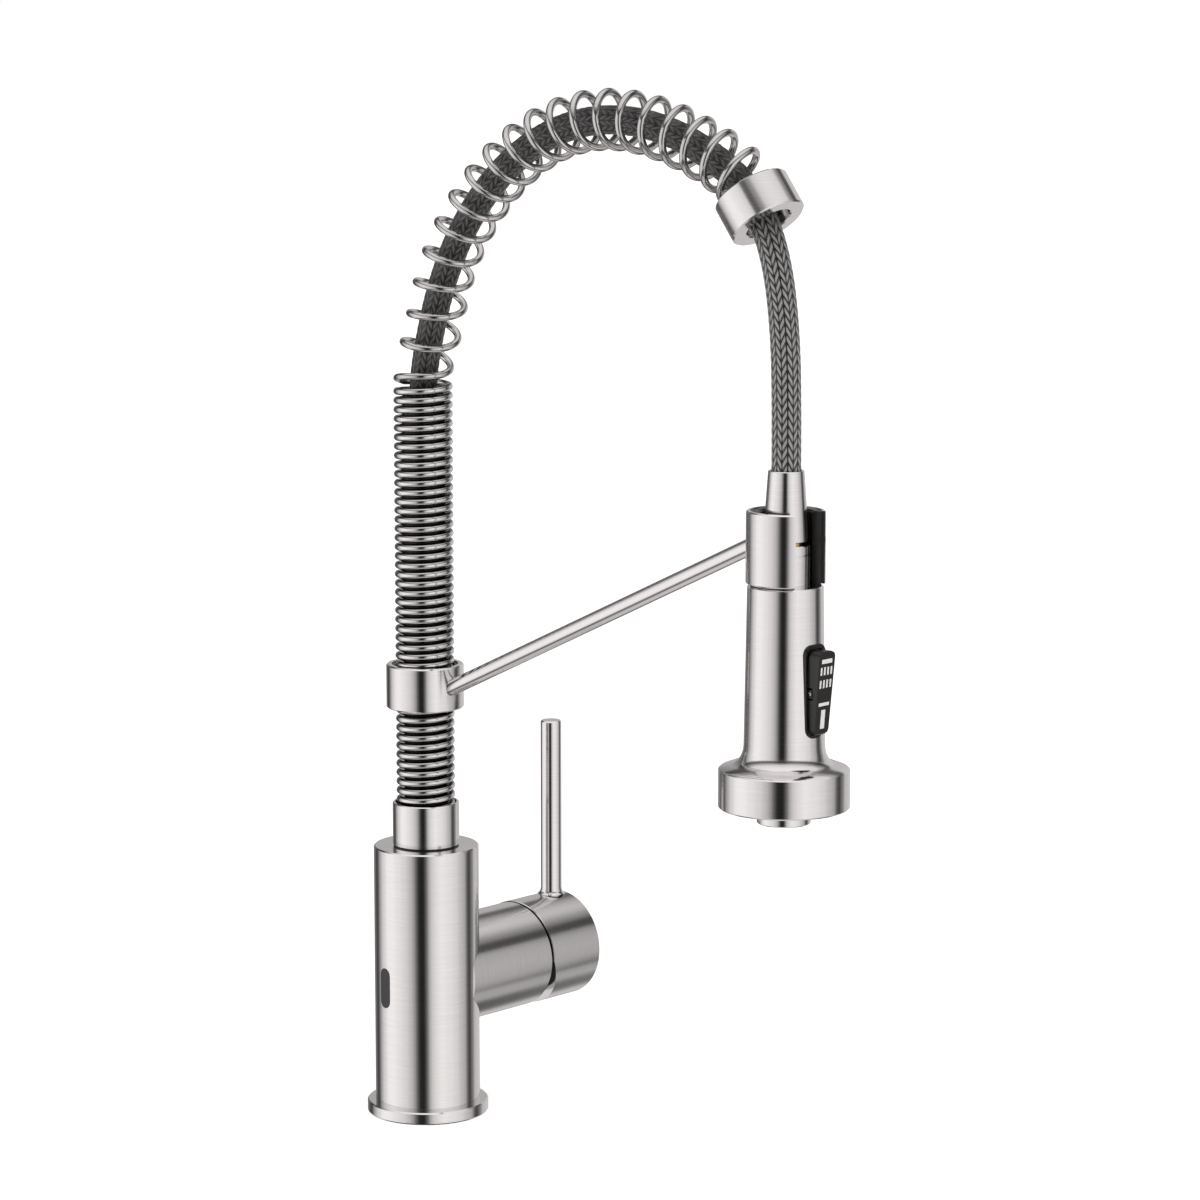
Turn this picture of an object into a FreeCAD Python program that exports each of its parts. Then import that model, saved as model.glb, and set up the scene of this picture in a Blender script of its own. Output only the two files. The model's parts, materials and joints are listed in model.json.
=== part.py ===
import FreeCAD, Part
import math
import os
import re

import Sketcher
from FreeCAD import Placement, Rotation, Vector

# A deck-mounted kitchen faucet with a spring spout and a pull-down spray head.
# Frame: origin on the deck plane under the centre of the base, +Z up, +X towards the user
# (the spout's reach), +Y the side of the lever. Millimetres.

doc = FreeCAD.newDocument("SpringSpoutFaucet")

# Driving sizes: name, value, meaning.
SIZES = [
    ("fit_gap", 0.05, "gap between pieces that are fixed together"),
    ("run_gap", 0.05, "radial running clearance of a shaft in its bore"),
    ("bevel", 0.6, "edge break on turned metal pieces"),
    ("flange_radius", "body_radius + 3.8", "base flange"),
    ("flange_height", 5.6, "base flange"),
    ("gasket_outer", 25.5, "deck gasket ring"),
    ("gasket_inner", 20.5, "deck gasket ring"),
    ("gasket_height", 1.6, "deck gasket ring, flush with the flange's underside"),
    ("body_radius", 24.0, "main body cylinder"),
    ("body_top", 124.9, "top face of the main body"),
    ("hose_bore", 7.0, "radius of the way for the hose through the main body"),
    ("connection_top", 40.0, "ceiling of the body's lower chamber, where the supply hoses screw in"),
    ("port_radius", 3.3, "threaded hot, cold and outlet ports"),
    ("port_length", 10.0, "threaded length of the ports"),
    ("port_side", 8.5, "sideways place of the hot and cold ports"),
    ("port_forward", 7.45, "place of the hot and cold ports towards the cartridge"),
    ("outlet_forward", 11.3, "place of the outlet port towards the cartridge"),
    ("passage_radius", 2.6, "water passages from the ports to the cartridge"),
    ("inlet_drop", 6.0, "hot and cold passages below the valve axis"),
    ("outlet_rise", 7.5, "outlet passage above the valve axis"),
    ("seal_radius", 4.2, "port seals in the cartridge's floor"),
    ("shank_radius", 17.0, "threaded mounting shank, for a 35 mm deck hole"),
    ("shank_bore", 15.0, "way through the shank"),
    ("shank_length", 48.0, "shank below the deck plane"),
    ("shank_insert", 18.0, "height of the shank inside the body"),
    ("deck_thickness", 20.0, "deck gripped between the flange and the rubber washer"),
    ("washer_radius", 27.0, "washers under the deck"),
    ("rubber_thickness", 3.0, "rubber washer"),
    ("steel_thickness", 1.5, "steel washer"),
    ("nut_radius", 25.0, "mounting nut"),
    ("nut_height", 9.0, "mounting nut"),
    ("jack_radius", 2.5, "jack screws in the mounting nut"),
    ("jack_circle", 21.0, "radius of the circle of the jack screws"),
    ("jack_below", 14.0, "length of a jack screw below the nut"),
    ("jack_head", 3.6, "radius of a jack screw's head"),
    ("valve_height", 62.8, "axis of the valve and lever hub"),
    ("boss_radius", "cavity_radius + 2.4", "valve boss on the main body"),
    ("boss_end", 50.0, "outer end of the boss"),
    ("cavity_radius", 17.6, "cartridge cavity in the boss"),
    ("cavity_floor", 16.5, "inner end of the cartridge cavity"),
    ("nut_thread", "cavity_radius + 1", "thread of the cartridge nut"),
    ("nut_start", 44.0, "inner end of the cartridge nut"),
    ("housing_radius", "cavity_radius + 6.8", "valve housing sleeve"),
    ("housing_wall", 2.0, "valve housing sleeve"),
    ("housing_start", 6.6, "inner end of the sleeve, saddled over the body"),
    ("housing_end", 58.2, "outer end of the sleeve"),
    ("cartridge_wall", 2.6, "cartridge can"),
    ("cartridge_base", 2.5, "cartridge can's floor"),
    ("disc_radius", "cavity_radius - 4", "fixed ceramic disc"),
    ("disc_thickness", 4.0, "ceramic discs"),
    ("moving_disc_radius", "cavity_radius - 6.1", "moving ceramic disc"),
    ("carrier_radius", "cavity_radius - 3.6", "rotating stem carrier in the cartridge"),
    ("carrier_neck", 9.0, "neck of the stem carrier"),
    ("carrier_shoulder", 41.0, "outer face of the carrier's wide part"),
    ("neck_end", 54.0, "outer end of the cartridge and carrier necks"),
    ("pivot_place", 50.0, "lever tilt pivot along the valve axis"),
    ("pivot_radius", 1.5, "tilt pivot pin"),
    ("stem_side", 8.0, "square cartridge stem"),
    ("stem_start", 37.0, "inner end of the stem"),
    ("stem_end", 75.0, "outer end of the stem, inside the hub"),
    ("fork_gap", 0.2, "side play of the stem in the carrier's fork"),
    ("hub_radius", "housing_radius + 0.3", "lever hub"),
    ("hub_gap", 1.0, "gap between the housing and the hub at the axis"),
    ("hub_end", 90.8, "outer face of the lever hub"),
    ("hub_wall", 3.0, "skirt of the lever hub"),
    ("hub_floor", 76.0, "where the hub turns solid"),
    ("hub_slope", 16.0, "slope of the relief cut under the hub, degrees"),
    ("socket_radius", 8.5, "boss inside the hub that holds the stem"),
    ("socket_start", 63.0, "inner end of that boss"),
    ("lever_radius", 4.9, "lever rod"),
    ("lever_place", 83.3, "lever rod along the valve axis"),
    ("lever_top", 170.9, "top of the lever rod above the deck"),
    ("lever_insert", 12.0, "foot of the lever rod above the valve axis"),
    ("lever_foot", 6.4, "radius of the flared foot of the lever on the hub"),
    ("grub_radius", 2.0, "grub screws"),
    ("plug_depth", 1.2, "rubber plug over the hub's grub screw"),
    ("bonnet_radius", "housing_radius - 2.2", "black bonnet in the mouth of the housing"),
    ("bonnet_bore", 11.6, "way for the cartridge neck through the bonnet"),
    ("bonnet_rise", 4.4, "how far the bonnet's dome stands out of the housing"),
    ("sensor_angle", -98.0, "direction the sensor window faces, degrees about Z"),
    ("sensor_height", 61.0, "centre of the sensor window"),
    ("sensor_width", 6.6, "sensor window"),
    ("sensor_length", 18.6, "sensor window, overall"),
    ("sensor_depth", 4.0, "lens thickness"),
    ("module_depth", 6.0, "sensor module behind the lens"),
    ("bush_radius", 13.6, "swivel bush outside"),
    ("bush_bore", 12.05, "swivel bush inside"),
    ("bush_bottom", "body_top - 20.7", "lower end of the swivel bush"),
    ("bush_flange", 14.8, "thrust flange of the swivel bush"),
    ("bush_flange_height", 0.6, "thrust flange of the swivel bush"),
    ("swivel_bottom", "body_top - 26.9", "floor of the swivel cavity"),
    ("seat_radius", "coil_radius + 3.45", "spring seat collar"),
    ("seat_top", "body_top + 20.1", "rim of the spring seat"),
    ("seat_floor", "body_top + 6.7", "floor the spring stands on"),
    ("seat_wall", 1.2, "rim wall of the spring seat"),
    ("spigot_bottom", "body_top - 25.4", "lower end of the swivel spigot"),
    ("clip_bottom", "body_top - 23.7", "retaining clip"),
    ("clip_thickness", 1.4, "retaining clip"),
    ("clip_radius", 13.2, "retaining clip"),
    ("clip_groove", 10.8, "groove for the clip"),
    ("ring_section", 0.78, "section radius of the swivel O-rings"),
    ("ring_low", "body_top - 15.9", "height of the lower O-ring"),
    ("ring_high", "body_top - 5.9", "height of the upper O-ring"),
    ("tube_radius", "coil_radius - 2.15", "inner support tube of the column"),
    ("tube_bore", 8.0, "inner support tube of the column"),
    ("tube_bottom", "body_top + 2.6", "foot of the support tube, in the seat"),
    ("tube_top", 331.0, "top of the support tube"),
    ("coil_radius", 11.75, "mean radius of the spring's turns"),
    ("wire_radius", 1.65, "spring wire"),
    ("column_top", 336.65, "end of the close-wound stretch"),
    ("tight_turns", 49.0, "turns of the close-wound stretch"),
    ("tight_pitch", "(column_top - seat_floor - wire_radius - fit_gap) / tight_turns",
     "pitch of the close-wound stretch"),
    ("open_turns", 20.0, "turns of the open stretch"),
    ("reach", 212.8, "column axis to spray head axis"),
    ("collar_radius", "liner_radius + 2.6", "arm collar on the column"),
    ("collar_bottom", 188.8, "arm collar"),
    ("collar_top", 208.9, "arm collar"),
    ("liner_radius", "liner_bore + 1.45", "outside of the collar's clamping liner"),
    ("liner_bore", "coil_radius + wire_radius + 0.15", "inside of the clamping liner"),
    ("arm_radius", 3.65, "arm rod"),
    ("arm_foot", 191.6, "height where the arm's line meets the column axis"),
    ("arm_head", 290.6, "height where the arm's line meets the spray head axis"),
    ("arm_insert", 0.9, "depth of the rod's ends in the collar and the dock"),
    ("dock_radius", 16.7, "spray head dock ring"),
    ("dock_bottom", 268.1, "spray head dock ring"),
    ("dock_top", 298.8, "spray head dock ring"),
    ("dock_wall", 1.8, "dock ring"),
    ("dock_liner", 3.8, "black liner inside the dock"),
    ("dock_slot", 9.8, "half width of the dock's open side"),
    ("dock_screw_height", 275.5, "grub screw that holds the arm in the dock"),
    ("guide_radius", "coil_radius + 4.75", "guide ring at the end of the spring"),
    ("guide_bore", 10.0, "guide ring"),
    ("guide_length", 16.7, "guide ring"),
    ("guide_recess", 4.0, "recess in the guide ring for the last turn"),
    ("guide_angle", 53.0, "fall of the guide ring's axis, degrees"),
    ("guide_x", "reach - 20.4", "back face centre of the guide ring"),
    ("guide_z", 430.2, "back face centre of the guide ring"),
    ("hose_radius", 6.25, "braided hose"),
    ("nut_top", 315.5, "top of the hose nut"),
    ("nut_waist", 301.0, "height where the hose nut's taper steepens"),
    ("nut_bottom", 286.0, "foot of the hose nut"),
    ("nut_top_radius", 7.6, "hose nut"),
    ("nut_bottom_radius", 9.4, "hose nut"),
    ("ferrule_radius", 6.9, "crimped ferrule"),
    ("ferrule_bottom", 290.0, "lower end of the crimped ferrule"),
    ("coupling_radius", 7.0, "swivel coupling under the hose nut"),
    ("coupling_bottom", 272.0, "lower end of the coupling, inside the spray head"),
    ("coupling_bore", 3.5, "water way in the coupling"),
    ("neck_radius", 10.3, "neck of the spray head inside the dock"),
    ("neck_top", 284.6, "top of the neck"),
    ("neck_groove", 280.6, "thin groove round the neck"),
    ("shoulder_height", 267.4, "shoulder under the dock"),
    ("spray_radius", 16.0, "spray head at its shoulder"),
    ("grip_radius", 17.1, "spray head above the bell"),
    ("flare_start", 200.0, "where the grip starts to flare"),
    ("flare_radius", 22.6, "foot of the flare on the bell"),
    ("flare_foot", 191.6, "height of the flare's foot"),
    ("bell_top", 189.9, "rim of the bell"),
    ("bell_bottom", 173.0, "bell"),
    ("bell_radius", 27.7, "bell"),
    ("shell_wall", 1.8, "wall of the spray head's shell"),
    ("plate_thickness", 3.0, "spray plate in the bell"),
    ("nozzle_radius", 0.9, "spray nozzles"),
    ("nozzle_length", 1.2, "nozzles below the spray plate"),
    ("nozzle_count", 16.0, "nozzles in each ring"),
    ("nozzle_inner", 15.5, "inner ring of nozzles"),
    ("nozzle_outer", 20.5, "outer ring of nozzles"),
    ("aerator_radius", 11.4, "aerator"),
    ("aerator_bottom", 166.4, "aerator"),
    ("aerator_height", 12.4, "aerator"),
    ("core_radius", 13.2, "plastic water core in the grip"),
    ("core_bore", 4.0, "water way of the core"),
    ("core_top", 262.0, "top of the water core"),
    ("core_bottom", 187.0, "foot of the water core"),
    ("spool_radius", 3.0, "diverter spool"),
    ("spool_height", 224.0, "diverter spool"),
    ("spool_length", 10.0, "diverter spool"),
    ("check_top", 259.0, "check valve in the core"),
    ("check_height", 9.0, "check valve in the core"),
    ("check_radius", 5.0, "check valve in the core"),
    ("panel_top", 244.2, "black button panel"),
    ("panel_bottom", 204.8, "black button panel"),
    ("panel_wide", 6.5, "half width of the panel at its top"),
    ("panel_narrow", 5.8, "half width of the panel at its bottom"),
    ("panel_back", 14.4, "inner face of the panel"),
    ("panel_face", 16.7, "outer face of the panel"),
    ("panel_corner", 4.2, "corners of the button panel"),
    ("rocker_top", 242.0, "rocker button"),
    ("rocker_bottom", 206.4, "rocker button"),
    ("rocker_wide", 5.2, "half width of the rocker at its top"),
    ("rocker_narrow", 4.5, "half width of the rocker at its bottom"),
    ("rocker_out_top", 23.0, "outer face of the rocker at its top"),
    ("rocker_out_bottom", 20.0, "outer face of the rocker at its bottom"),
    ("rocker_back", 17.6, "inner face of the rocker at its ends"),
    ("rocker_pivot_height", 224.0, "rocker pivot"),
    ("rocker_pivot_place", 17.3, "rocker pivot"),
    ("rocker_pin", 0.9, "rocker pin"),
]

sheet = doc.addObject("Spreadsheet::Sheet", "Sizes")
for row, (alias, number, meaning) in enumerate(SIZES, start=1):
    sheet.set(f"A{row}", alias)
    sheet.set(f"B{row}", f"={number}")
    sheet.set(f"C{row}", meaning)
    sheet.setAlias(f"B{row}", alias)
doc.recompute()
ALIASES = {alias for alias, number, meaning in SIZES}


def formula(text):
    """An expression on the sheet: each size's name is looked up there."""
    named = r"[a-z][a-z_]+"
    return re.sub(named, lambda word: "Sizes." + word.group() if word.group() in ALIASES else word.group(),
                  str(text))


def amount(text):
    """The number that an expression on the sheet gives."""
    result = sheet.evalExpression(formula(text))
    return float(getattr(result, "Value", result))


def bind(item, **properties):
    """Binds each property, with __ for a dot, to an expression on the sheet."""
    for name, text in properties.items():
        item.setExpression(name.replace("__", "."), formula(text))


X_AXIS = Vector(1, 0, 0)
Y_AXIS = Vector(0, 1, 0)
Z_AXIS = Vector(0, 0, 1)
UPRIGHT = (Z_AXIS, 0)
ALONG_Y = (X_AXIS, -90)
ALONG_X = (Y_AXIS, 90)
NODES = {}


def node(name, item):
    """Names the object that is one sub-part."""
    item.Label = name
    NODES[name] = item
    return item


def put(item, x="0", y="0", z="0", turn=UPRIGHT):
    """Sets an object's place from expressions and its turn from an axis and an angle."""
    item.Placement = Placement(Vector(amount(x), amount(y), amount(z)), Rotation(turn[0], turn[1]))
    bind(item, Placement__Base__x=x, Placement__Base__y=y, Placement__Base__z=z)
    return item


def sketch(body, role, corners):
    """A closed polygon on one of the body's origin planes, each corner a pair of expressions."""
    outline = body.newObject("Sketcher::SketchObject", "Outline")
    plane = [feature for feature in body.Origin.OriginFeatures if feature.Role == role][0]
    outline.AttachmentSupport = [(plane, "")]
    outline.MapMode = "FlatFace"
    places = [Vector(amount(x), amount(y), 0) for x, y in corners]
    count = len(places)
    for index in range(count):
        outline.addGeometry(Part.LineSegment(places[index], places[(index + 1) % count]), False)
    for index in range(count):
        outline.addConstraint(Sketcher.Constraint("Coincident", index, 2, (index + 1) % count, 1))
    for index, corner in enumerate(corners):
        for kind, text, number in zip(("DistanceX", "DistanceY"), corner, places[index]):
            which = outline.addConstraint(Sketcher.Constraint(kind, -1, 1, index, 1, number))
            outline.setExpression(f"Constraints[{which}]", formula(text))
    return outline


def turned(name, corners, x="0", y="0", z="0", turn=UPRIGHT):
    """A turned piece: its half section, as radius and height, spun about the body's own Z."""
    body = doc.addObject("PartDesign::Body", name)
    outline = sketch(body, "XZ_Plane", corners)
    spin = body.newObject("PartDesign::Revolution", "Turned")
    spin.Profile = outline
    spin.ReferenceAxis = (outline, ["V_Axis"])
    spin.Angle = 360
    put(body, x, y, z, turn)
    doc.recompute()
    return body


def padded(name, role, corners, depth, start="0", x="0", y="0", z="0", turn=UPRIGHT):
    """A plate cut to an outline and thickened along the plane's normal from a start offset."""
    body = doc.addObject("PartDesign::Body", name)
    outline = sketch(body, role, corners)
    outline.AttachmentOffset = Placement(Vector(0, 0, amount(start)), Rotation())
    bind(outline, AttachmentOffset__Base__z=start)
    pad = body.newObject("PartDesign::Pad", "Thick")
    pad.Profile = outline
    bind(pad, Length=depth)
    put(body, x, y, z, turn)
    doc.recompute()
    return body


def rod(name, radius, length, x="0", y="0", z="0", turn=UPRIGHT):
    item = doc.addObject("Part::Cylinder", name)
    bind(item, Radius=radius, Height=length)
    return put(item, x, y, z, turn)


def block(name, length, width, height, x, y, z):
    item = doc.addObject("Part::Box", name)
    bind(item, Length=length, Width=width, Height=height)
    return put(item, x, y, z)


def cut(name, base, *tools):
    """The base less its tools; each cut has to take something away."""
    for index, tool in enumerate(tools):
        less = doc.addObject("Part::Cut", f"{name}_cut{index}")
        less.Base = base
        less.Tool = tool
        doc.recompute()
        if less.Shape.Volume >= base.Shape.Volume - 1e-6:
            raise ValueError(f"{less.Name} cuts nothing")
        base = less
    return base


def joined(name, *pieces):
    item = doc.addObject("Part::MultiFuse", name)
    item.Shapes = list(pieces)
    item.Refine = True
    doc.recompute()
    return item


def group(name, *pieces):
    """Like pieces that share a node, each a solid of its own."""
    item = doc.addObject("Part::Compound", name)
    item.Links = list(pieces)
    doc.recompute()
    return item


def ring_of(name, radius, section, height):
    item = doc.addObject("Part::Torus", name)
    bind(item, Radius1=radius, Radius2=section)
    return put(item, z=height)


def tube_section(inner, outer, low, high, edge="bevel"):
    """The half section of a tube with its outer rims broken."""
    return [(inner, low), (f"{outer} - {edge}", low), (outer, f"{low} + {edge}"),
            (outer, f"{high} - {edge}"), (f"{outer} - {edge}", high), (inner, high)]


def solid_section(outer, low, high, edge="bevel"):
    return tube_section("0", outer, low, high, edge)


# Base and deck mounting -------------------------------------------------------------------

node("base_flange", turned("base_flange", [
    ("shank_radius + 0.3", "0"), ("gasket_inner", "0"), ("gasket_inner", "gasket_height + fit_gap"),
    ("gasket_outer + fit_gap", "gasket_height + fit_gap"), ("gasket_outer + fit_gap", "0"),
    ("flange_radius - bevel", "0"), ("flange_radius", "bevel"),
    ("flange_radius", "flange_height - bevel"), ("flange_radius - bevel", "flange_height"),
    ("shank_radius + 0.3", "flange_height")]))
node("base_gasket", turned("base_gasket", [
    ("gasket_inner + fit_gap", "0"), ("gasket_outer", "0"),
    ("gasket_outer", "gasket_height"), ("gasket_inner + fit_gap", "gasket_height")]))
node("mounting_shank", turned("mounting_shank", tube_section(
    "shank_bore", "shank_radius", "-shank_length", "shank_insert", "bevel")))
node("rubber_washer", turned("rubber_washer", tube_section(
    "shank_radius + 0.5", "washer_radius", "-deck_thickness - rubber_thickness", "-deck_thickness", "0.3")))
STEEL_TOP = "-deck_thickness - rubber_thickness"
NUT_TOP = "-deck_thickness - rubber_thickness - steel_thickness"
node("steel_washer", turned("steel_washer", tube_section(
    "shank_radius + 0.5", "washer_radius", NUT_TOP, STEEL_TOP, "0.2")))

nut_blank = turned("nut_blank",
                   tube_section("shank_radius + fit_gap", "nut_radius", f"{NUT_TOP} - nut_height", NUT_TOP))
jack_holes = []
jack_screws = []
for side in ("-1", "1"):
    jack_holes.append(rod("jack_hole", "jack_radius + fit_gap", "nut_height + 2",
                          f"{side} * jack_circle", "0", f"{NUT_TOP} - nut_height - 1"))
    jack_screws.append(turned("jack_screw", [
        ("0", f"{NUT_TOP} - nut_height - jack_below - 4"),
        ("jack_head", f"{NUT_TOP} - nut_height - jack_below - 4"),
        ("jack_head", f"{NUT_TOP} - nut_height - jack_below"),
        ("jack_radius", f"{NUT_TOP} - nut_height - jack_below"),
        ("jack_radius", f"{NUT_TOP} - 0.3"), ("0", f"{NUT_TOP} - 0.3")], x=f"{side} * jack_circle"))
node("mounting_nut", cut("mounting_nut", nut_blank, *jack_holes))
node("jack_screws", group("jack_screws", *jack_screws))

# Main body: one casting with a boss for the cartridge ---------------------------------------

trunk = turned("trunk", [
    ("shank_radius + fit_gap", "flange_height"), ("body_radius", "flange_height"),
    ("body_radius", "body_top - bevel"), ("body_radius - bevel", "body_top"),
    ("bush_radius + fit_gap", "body_top"), ("bush_radius + fit_gap", "swivel_bottom"),
    ("hose_bore", "swivel_bottom"), ("hose_bore", "connection_top"),
    ("shank_radius + fit_gap", "connection_top")])
boss = rod("boss", "boss_radius", "boss_end - cavity_floor", "0", "cavity_floor", "valve_height", ALONG_Y)
cast_body = joined("cast_body", trunk, boss)
cavity = rod("cavity", "cavity_radius", "boss_end", "0", "cavity_floor", "valve_height", ALONG_Y)
nut_seat = rod("nut_seat", "nut_thread + fit_gap", "boss_end", "0", "nut_start", "valve_height", ALONG_Y)
PORT_PLACES = [("-port_side", "port_forward", "valve_height - inlet_drop"),
               ("port_side", "port_forward", "valve_height - inlet_drop"),
               ("0", "outlet_forward", "valve_height + outlet_rise")]
ports = []
for x, y, z in PORT_PLACES:
    ports.append(rod("port", "port_radius", "port_length + 1", x, y, "connection_top - 1"))
    ports.append(rod("riser", "passage_radius", f"({z}) - connection_top", x, y, "connection_top"))
    ports.append(rod("passage", "passage_radius", f"cavity_floor - ({y}) + 1", x, y, z, ALONG_Y))


def oval(name, width, length, depth, place):
    """A flat oval bar standing on end at the sensor's place, depth along the radius."""
    half = f"({width}) / 2"
    corners = []
    steps = 8
    for end, start in ((1, 0), (-1, 180)):
        for step in range(steps + 1):
            angle = math.radians(start + 180 * step / steps)
            corners.append((f"{half} * {math.cos(angle):.6f}",
                            f"{half} * {math.sin(angle):.6f} + {end} * (({length}) / 2 - {half})"))
    body = padded(name, "YZ_Plane", corners, depth, place)
    body.Placement = Placement(Vector(0, 0, amount("sensor_height")),
                               Rotation(Z_AXIS, amount("sensor_angle")))
    bind(body, Placement__Base__z="sensor_height", Placement__Rotation__Angle="sensor_angle")
    return body


LENS_BACK = "body_radius - sensor_depth"
lens_hole = oval("lens_hole", "sensor_width + 2 * fit_gap", "sensor_length + 2 * fit_gap",
                 "sensor_depth + module_depth + 2", f"{LENS_BACK} - module_depth")
node("main_body", cut("main_body", cast_body, cavity, nut_seat, *ports, lens_hole))
lens_bar = oval("lens_bar", "sensor_width", "sensor_length", "sensor_depth + 1", LENS_BACK)
skin = rod("skin", "body_radius + 0.15", "body_top")
lens = doc.addObject("Part::Common", "lens")
lens.Base = lens_bar
lens.Tool = skin
node("sensor_window", lens)
node("sensor_module", oval("sensor_module", "sensor_width - 0.4", "sensor_length - 0.4",
                           "module_depth - 2 * fit_gap", f"{LENS_BACK} - module_depth + fit_gap"))

# Valve: housing sleeve, cartridge and bonnet, on the +Y axis --------------------------------


def on_valve_axis(name, corners):
    """A turned piece on the valve axis; heights run along +Y."""
    return turned(name, corners, z="valve_height", turn=ALONG_Y)


sleeve = on_valve_axis("sleeve", [
    ("housing_radius - housing_wall", "housing_start"), ("housing_radius", "housing_start"),
    ("housing_radius", "housing_end - 0.3"), ("housing_radius - 0.3", "housing_end"),
    ("housing_radius - housing_wall", "housing_end")])
trunk_way = rod("trunk_way", "body_radius + fit_gap", "body_top")
node("valve_housing", cut("valve_housing", sleeve, trunk_way))

CAN_FLOOR = "cavity_floor + fit_gap"
FIXED_DISC = f"{CAN_FLOOR} + cartridge_base"
MOVING_DISC = f"{FIXED_DISC} + disc_thickness + fit_gap"
CARRIER = f"{MOVING_DISC} + disc_thickness + run_gap"
can = on_valve_axis("can", [
    ("0", CAN_FLOOR), ("cavity_radius - fit_gap", CAN_FLOOR),
    ("cavity_radius - fit_gap", "nut_start - fit_gap"),
    ("carrier_neck + 2.4", "nut_start - fit_gap"), ("carrier_neck + 2.4", "neck_end - 0.4"),
    ("carrier_neck + run_gap", "neck_end - 0.4"), ("carrier_neck + run_gap", "carrier_shoulder + run_gap"),
    ("cavity_radius - cartridge_wall", "carrier_shoulder + run_gap"),
    ("cavity_radius - cartridge_wall", f"{CAN_FLOOR} + cartridge_base"),
    ("0", f"{CAN_FLOOR} + cartridge_base")])
SEAL_PLACES = [(x, z) for x, y, z in PORT_PLACES]
seal_holes = [rod("seal_hole", "seal_radius + fit_gap", "cartridge_base + 1", x, f"{CAN_FLOOR} - 0.5", z,
                  ALONG_Y)
              for x, z in SEAL_PLACES]
node("cartridge_can", cut("cartridge_can", can, *seal_holes))
seal_rings = [turned("port_seal", [("seal_radius - 1.4", "0"), ("seal_radius", "0"),
                                   ("seal_radius", "cartridge_base"),
                                   ("seal_radius - 1.4", "cartridge_base")],
                     x, CAN_FLOOR, z, ALONG_Y) for x, z in SEAL_PLACES]
node("cartridge_seals", group("cartridge_seals", *seal_rings))

disc_blank = on_valve_axis("disc_blank",
    solid_section("disc_radius", FIXED_DISC, f"{FIXED_DISC} + disc_thickness", "0.3"))
disc_holes = [rod("disc_hole", "seal_radius - 1.4", "disc_thickness + 2", x, f"{FIXED_DISC} - 1", z, ALONG_Y)
              for x, z in SEAL_PLACES]
node("fixed_disc", cut("fixed_disc", disc_blank, *disc_holes))
moving_blank = on_valve_axis("moving_blank", solid_section(
    "moving_disc_radius", MOVING_DISC, f"{MOVING_DISC} + disc_thickness", "0.3"))
mixing_pocket = rod("mixing_pocket", "moving_disc_radius - 2.5", "2.5", "0", f"{MOVING_DISC} - 0.5",
                    "valve_height", ALONG_Y)
node("moving_disc", cut("moving_disc", moving_blank, mixing_pocket))
node("cartridge_nut", on_valve_axis("cartridge_nut", tube_section(
    "carrier_neck + 2.4 + fit_gap", "nut_thread", "nut_start", "boss_end", "0.3")))
node("bonnet", on_valve_axis("bonnet", [
    ("bonnet_bore", "boss_end + fit_gap"), ("bonnet_radius", "boss_end + fit_gap"),
    ("bonnet_radius", "housing_end - 1.6"), ("bonnet_radius - 2", "housing_end - 0.9"),
    ("bonnet_radius - 2.6", "housing_end + 0.7"), ("bonnet_radius - 3.9", "housing_end + 2.6"),
    ("bonnet_radius - 5.8", "housing_end + bonnet_rise"),
    ("bonnet_bore + 1.8", "housing_end + bonnet_rise"), ("bonnet_bore + 1.8", "housing_end + 1"),
    ("bonnet_bore", "housing_end - 1")]))

# Lever hub assembly: carrier, pivot pin, stem, hub, lever -----------------------------------

carrier_blank = on_valve_axis("carrier_blank", [
    ("0", CARRIER), ("carrier_radius", CARRIER), ("carrier_radius", "carrier_shoulder"),
    ("carrier_neck", "carrier_shoulder"), ("carrier_neck", "neck_end"), ("0", "neck_end")])
FORK_HALF = "stem_side / 2 + fork_gap"
fork = block("fork", f"2 * ({FORK_HALF})", "neck_end - stem_start + 3", "2 * carrier_neck + 2",
             f"-({FORK_HALF})", "stem_start - 1.5", "valve_height - carrier_neck - 1")
pin_hole = rod("pin_hole", "pivot_radius", "2 * carrier_neck", "-carrier_neck", "pivot_place",
               "valve_height", ALONG_X)
node("stem_carrier", cut("stem_carrier", carrier_blank, fork, pin_hole))
node("pivot_pin", rod("pivot_pin", "pivot_radius - fit_gap", "2 * carrier_neck - 1.2",
                      "0.6 - carrier_neck", "pivot_place", "valve_height", ALONG_X))
stem_bar = block("stem_bar", "stem_side", "stem_end - stem_start", "stem_side",
                 "-stem_side / 2", "stem_start", "valve_height - stem_side / 2")
stem_hole = rod("stem_hole", "pivot_radius + run_gap", "stem_side + 2", "-stem_side / 2 - 1", "pivot_place",
                "valve_height", ALONG_X)
node("cartridge_stem", cut("cartridge_stem", stem_bar, stem_hole))

HUB_START = "housing_end + hub_gap"
hub_blank = on_valve_axis("hub_blank", [
    ("0", "socket_start"), ("socket_radius", "socket_start"), ("socket_radius", "hub_floor"),
    ("hub_radius - hub_wall", "hub_floor"), ("hub_radius - hub_wall", HUB_START),
    ("hub_radius - 0.3", HUB_START), ("hub_radius", f"{HUB_START} + 0.3"),
    ("hub_radius", "hub_end - bevel"), ("hub_radius - bevel", "hub_end"), ("0", "hub_end")])
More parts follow.
